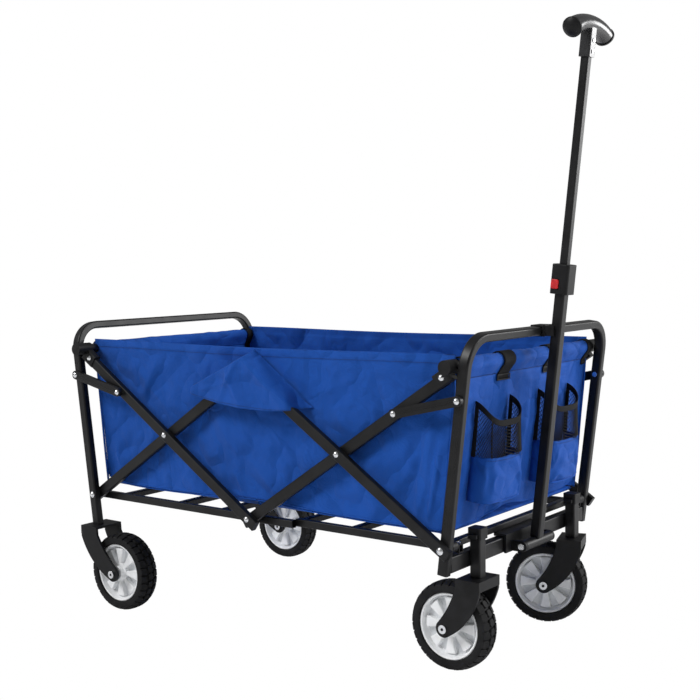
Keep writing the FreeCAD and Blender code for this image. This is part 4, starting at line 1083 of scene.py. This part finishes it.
# ---- studio -------------------------------------------------------------------------------------
CAMERA_PLACE = at(1.4389, -1.8252, 0.6961)
CAMERA_YAW = math.radians(37.414)
CAMERA_DOWN = math.radians(4.465)
CAMERA_ROLL = math.radians(-0.868)
CAMERA_LENS = 60.79
KEY_SUN = {"towards": (-0.55, -0.75, 0.80), "strength": 1.9, "spread": 20}
FRONT_SUN = {"towards": (0.80, 0.34, 0.62), "strength": 1.35, "spread": 16}
WINDOW_POWER = 44.0
WINDOW_PLACE = (2.2, 2.4, 1.15)
WINDOW_TOWARDS = (1.9, 2.4, 0.25)
WORLD_LIGHT = 0.27         # how strongly the surroundings light the scene; they show as full white
STUDIO_HALF = 30.0


def make_camera():
    data = bpy.data.cameras.new("camera")
    data.sensor_width, data.lens = 36.0, CAMERA_LENS
    camera = bpy.data.objects.new("camera", data)
    bpy.context.scene.collection.objects.link(camera)
    level = math.cos(CAMERA_DOWN)
    forward = Vector((-math.sin(CAMERA_YAW) * level, math.cos(CAMERA_YAW) * level, -math.sin(CAMERA_DOWN)))
    right = Vector((math.cos(CAMERA_YAW), math.sin(CAMERA_YAW), 0))
    up = right.cross(forward)
    side = right * math.cos(CAMERA_ROLL) + up * math.sin(CAMERA_ROLL)
    top = up * math.cos(CAMERA_ROLL) - right * math.sin(CAMERA_ROLL)
    turn = Matrix((side, top, -forward)).transposed().to_4x4()
    camera.matrix_world = Matrix.Translation(CAMERA_PLACE) @ turn
    bpy.context.scene.camera = camera


def sun(name, towards, strength, spread):
    """Soft sun that shines from the direction given by towards."""
    data = bpy.data.lights.new(name, "SUN")
    data.energy, data.angle = strength, math.radians(spread)
    light = bpy.data.objects.new(name, data)
    bpy.context.scene.collection.objects.link(light)
    light.rotation_euler = Vector(towards).to_track_quat("Z", "Y").to_euler()


def window_light():
    """Bright panel ahead and to the left, which glints along the front faces of the steel."""
    data = bpy.data.lights.new("window", "AREA")
    data.shape, data.size, data.size_y = "RECTANGLE", 0.9, 1.1
    data.energy = WINDOW_POWER
    light = bpy.data.objects.new("window", data)
    bpy.context.scene.collection.objects.link(light)
    light.location = WINDOW_PLACE
    light.rotation_euler = Vector(WINDOW_TOWARDS).to_track_quat("Z", "Y").to_euler()


def light_world():
    """White surroundings that light the scene more gently than they show."""
    world = bpy.data.worlds.new("studio")
    bpy.context.scene.world = world
    world.use_nodes = True
    nodes, links = world.node_tree.nodes, world.node_tree.links
    path = nodes.new("ShaderNodeLightPath")
    strength = nodes.new("ShaderNodeMapRange")
    strength.inputs["To Min"].default_value = WORLD_LIGHT
    strength.inputs["To Max"].default_value = 1.0
    background = nodes["Background"]
    background.inputs["Color"].default_value = (1.0, 1.0, 1.0, 1)
    links.new(path.outputs["Is Camera Ray"], strength.inputs["Value"])
    links.new(strength.outputs["Result"], background.inputs["Strength"])


def studio():
    floor_material = new_material("studio_floor", (0.93, 0.93, 0.93), 0.8, Specular_IOR_Level=0.1)
    speck = noise_field(floor_material, 3.0)
    colour_from(floor_material, ramp(floor_material, speck, (0.925, 0.925, 0.925), (0.935, 0.935, 0.935)))
    mesh = bpy.data.meshes.new("studio_floor")
    corners = [(x * STUDIO_HALF, y * STUDIO_HALF, 0) for x, y in ((-1, -1), (1, -1), (1, 1), (-1, 1))]
    mesh.from_pydata(corners, [], [(0, 1, 2, 3)])
    mesh.materials.append(floor_material)
    floor = bpy.data.objects.new("studio_floor", mesh)
    bpy.context.scene.collection.objects.link(floor)
    floor.visible_camera = False
    light_world()
    sun("key_sun", **KEY_SUN)
    sun("front_sun", **FRONT_SUN)
    window_light()
    bpy.context.scene.view_settings.view_transform = "Standard"


make_camera()
studio()
finish_nodes()
wheels()
for SIDE, HAND in (("left", 1), ("right", -1)):
    side_wall(SIDE, HAND)
    flap(SIDE, HAND)
    corner_welt(SIDE, HAND, 1, "front_rail")
    corner_welt(SIDE, HAND, -1, "rear_rail")
end_wall("front_wall", "front_panel", "front_rail", 1)
end_wall("rear_wall", "rear_panel", "rear_rail", -1)
for SIDE, HAND in (("left", 1), ("right", -1)):
    cup_pocket(SIDE, HAND)
straps()
painted_socket_shades()
floor_half("floor_board_front", "floor_front", "base_front", 1)
floor_half("floor_board_rear", "floor_rear", "base_rear", -1)
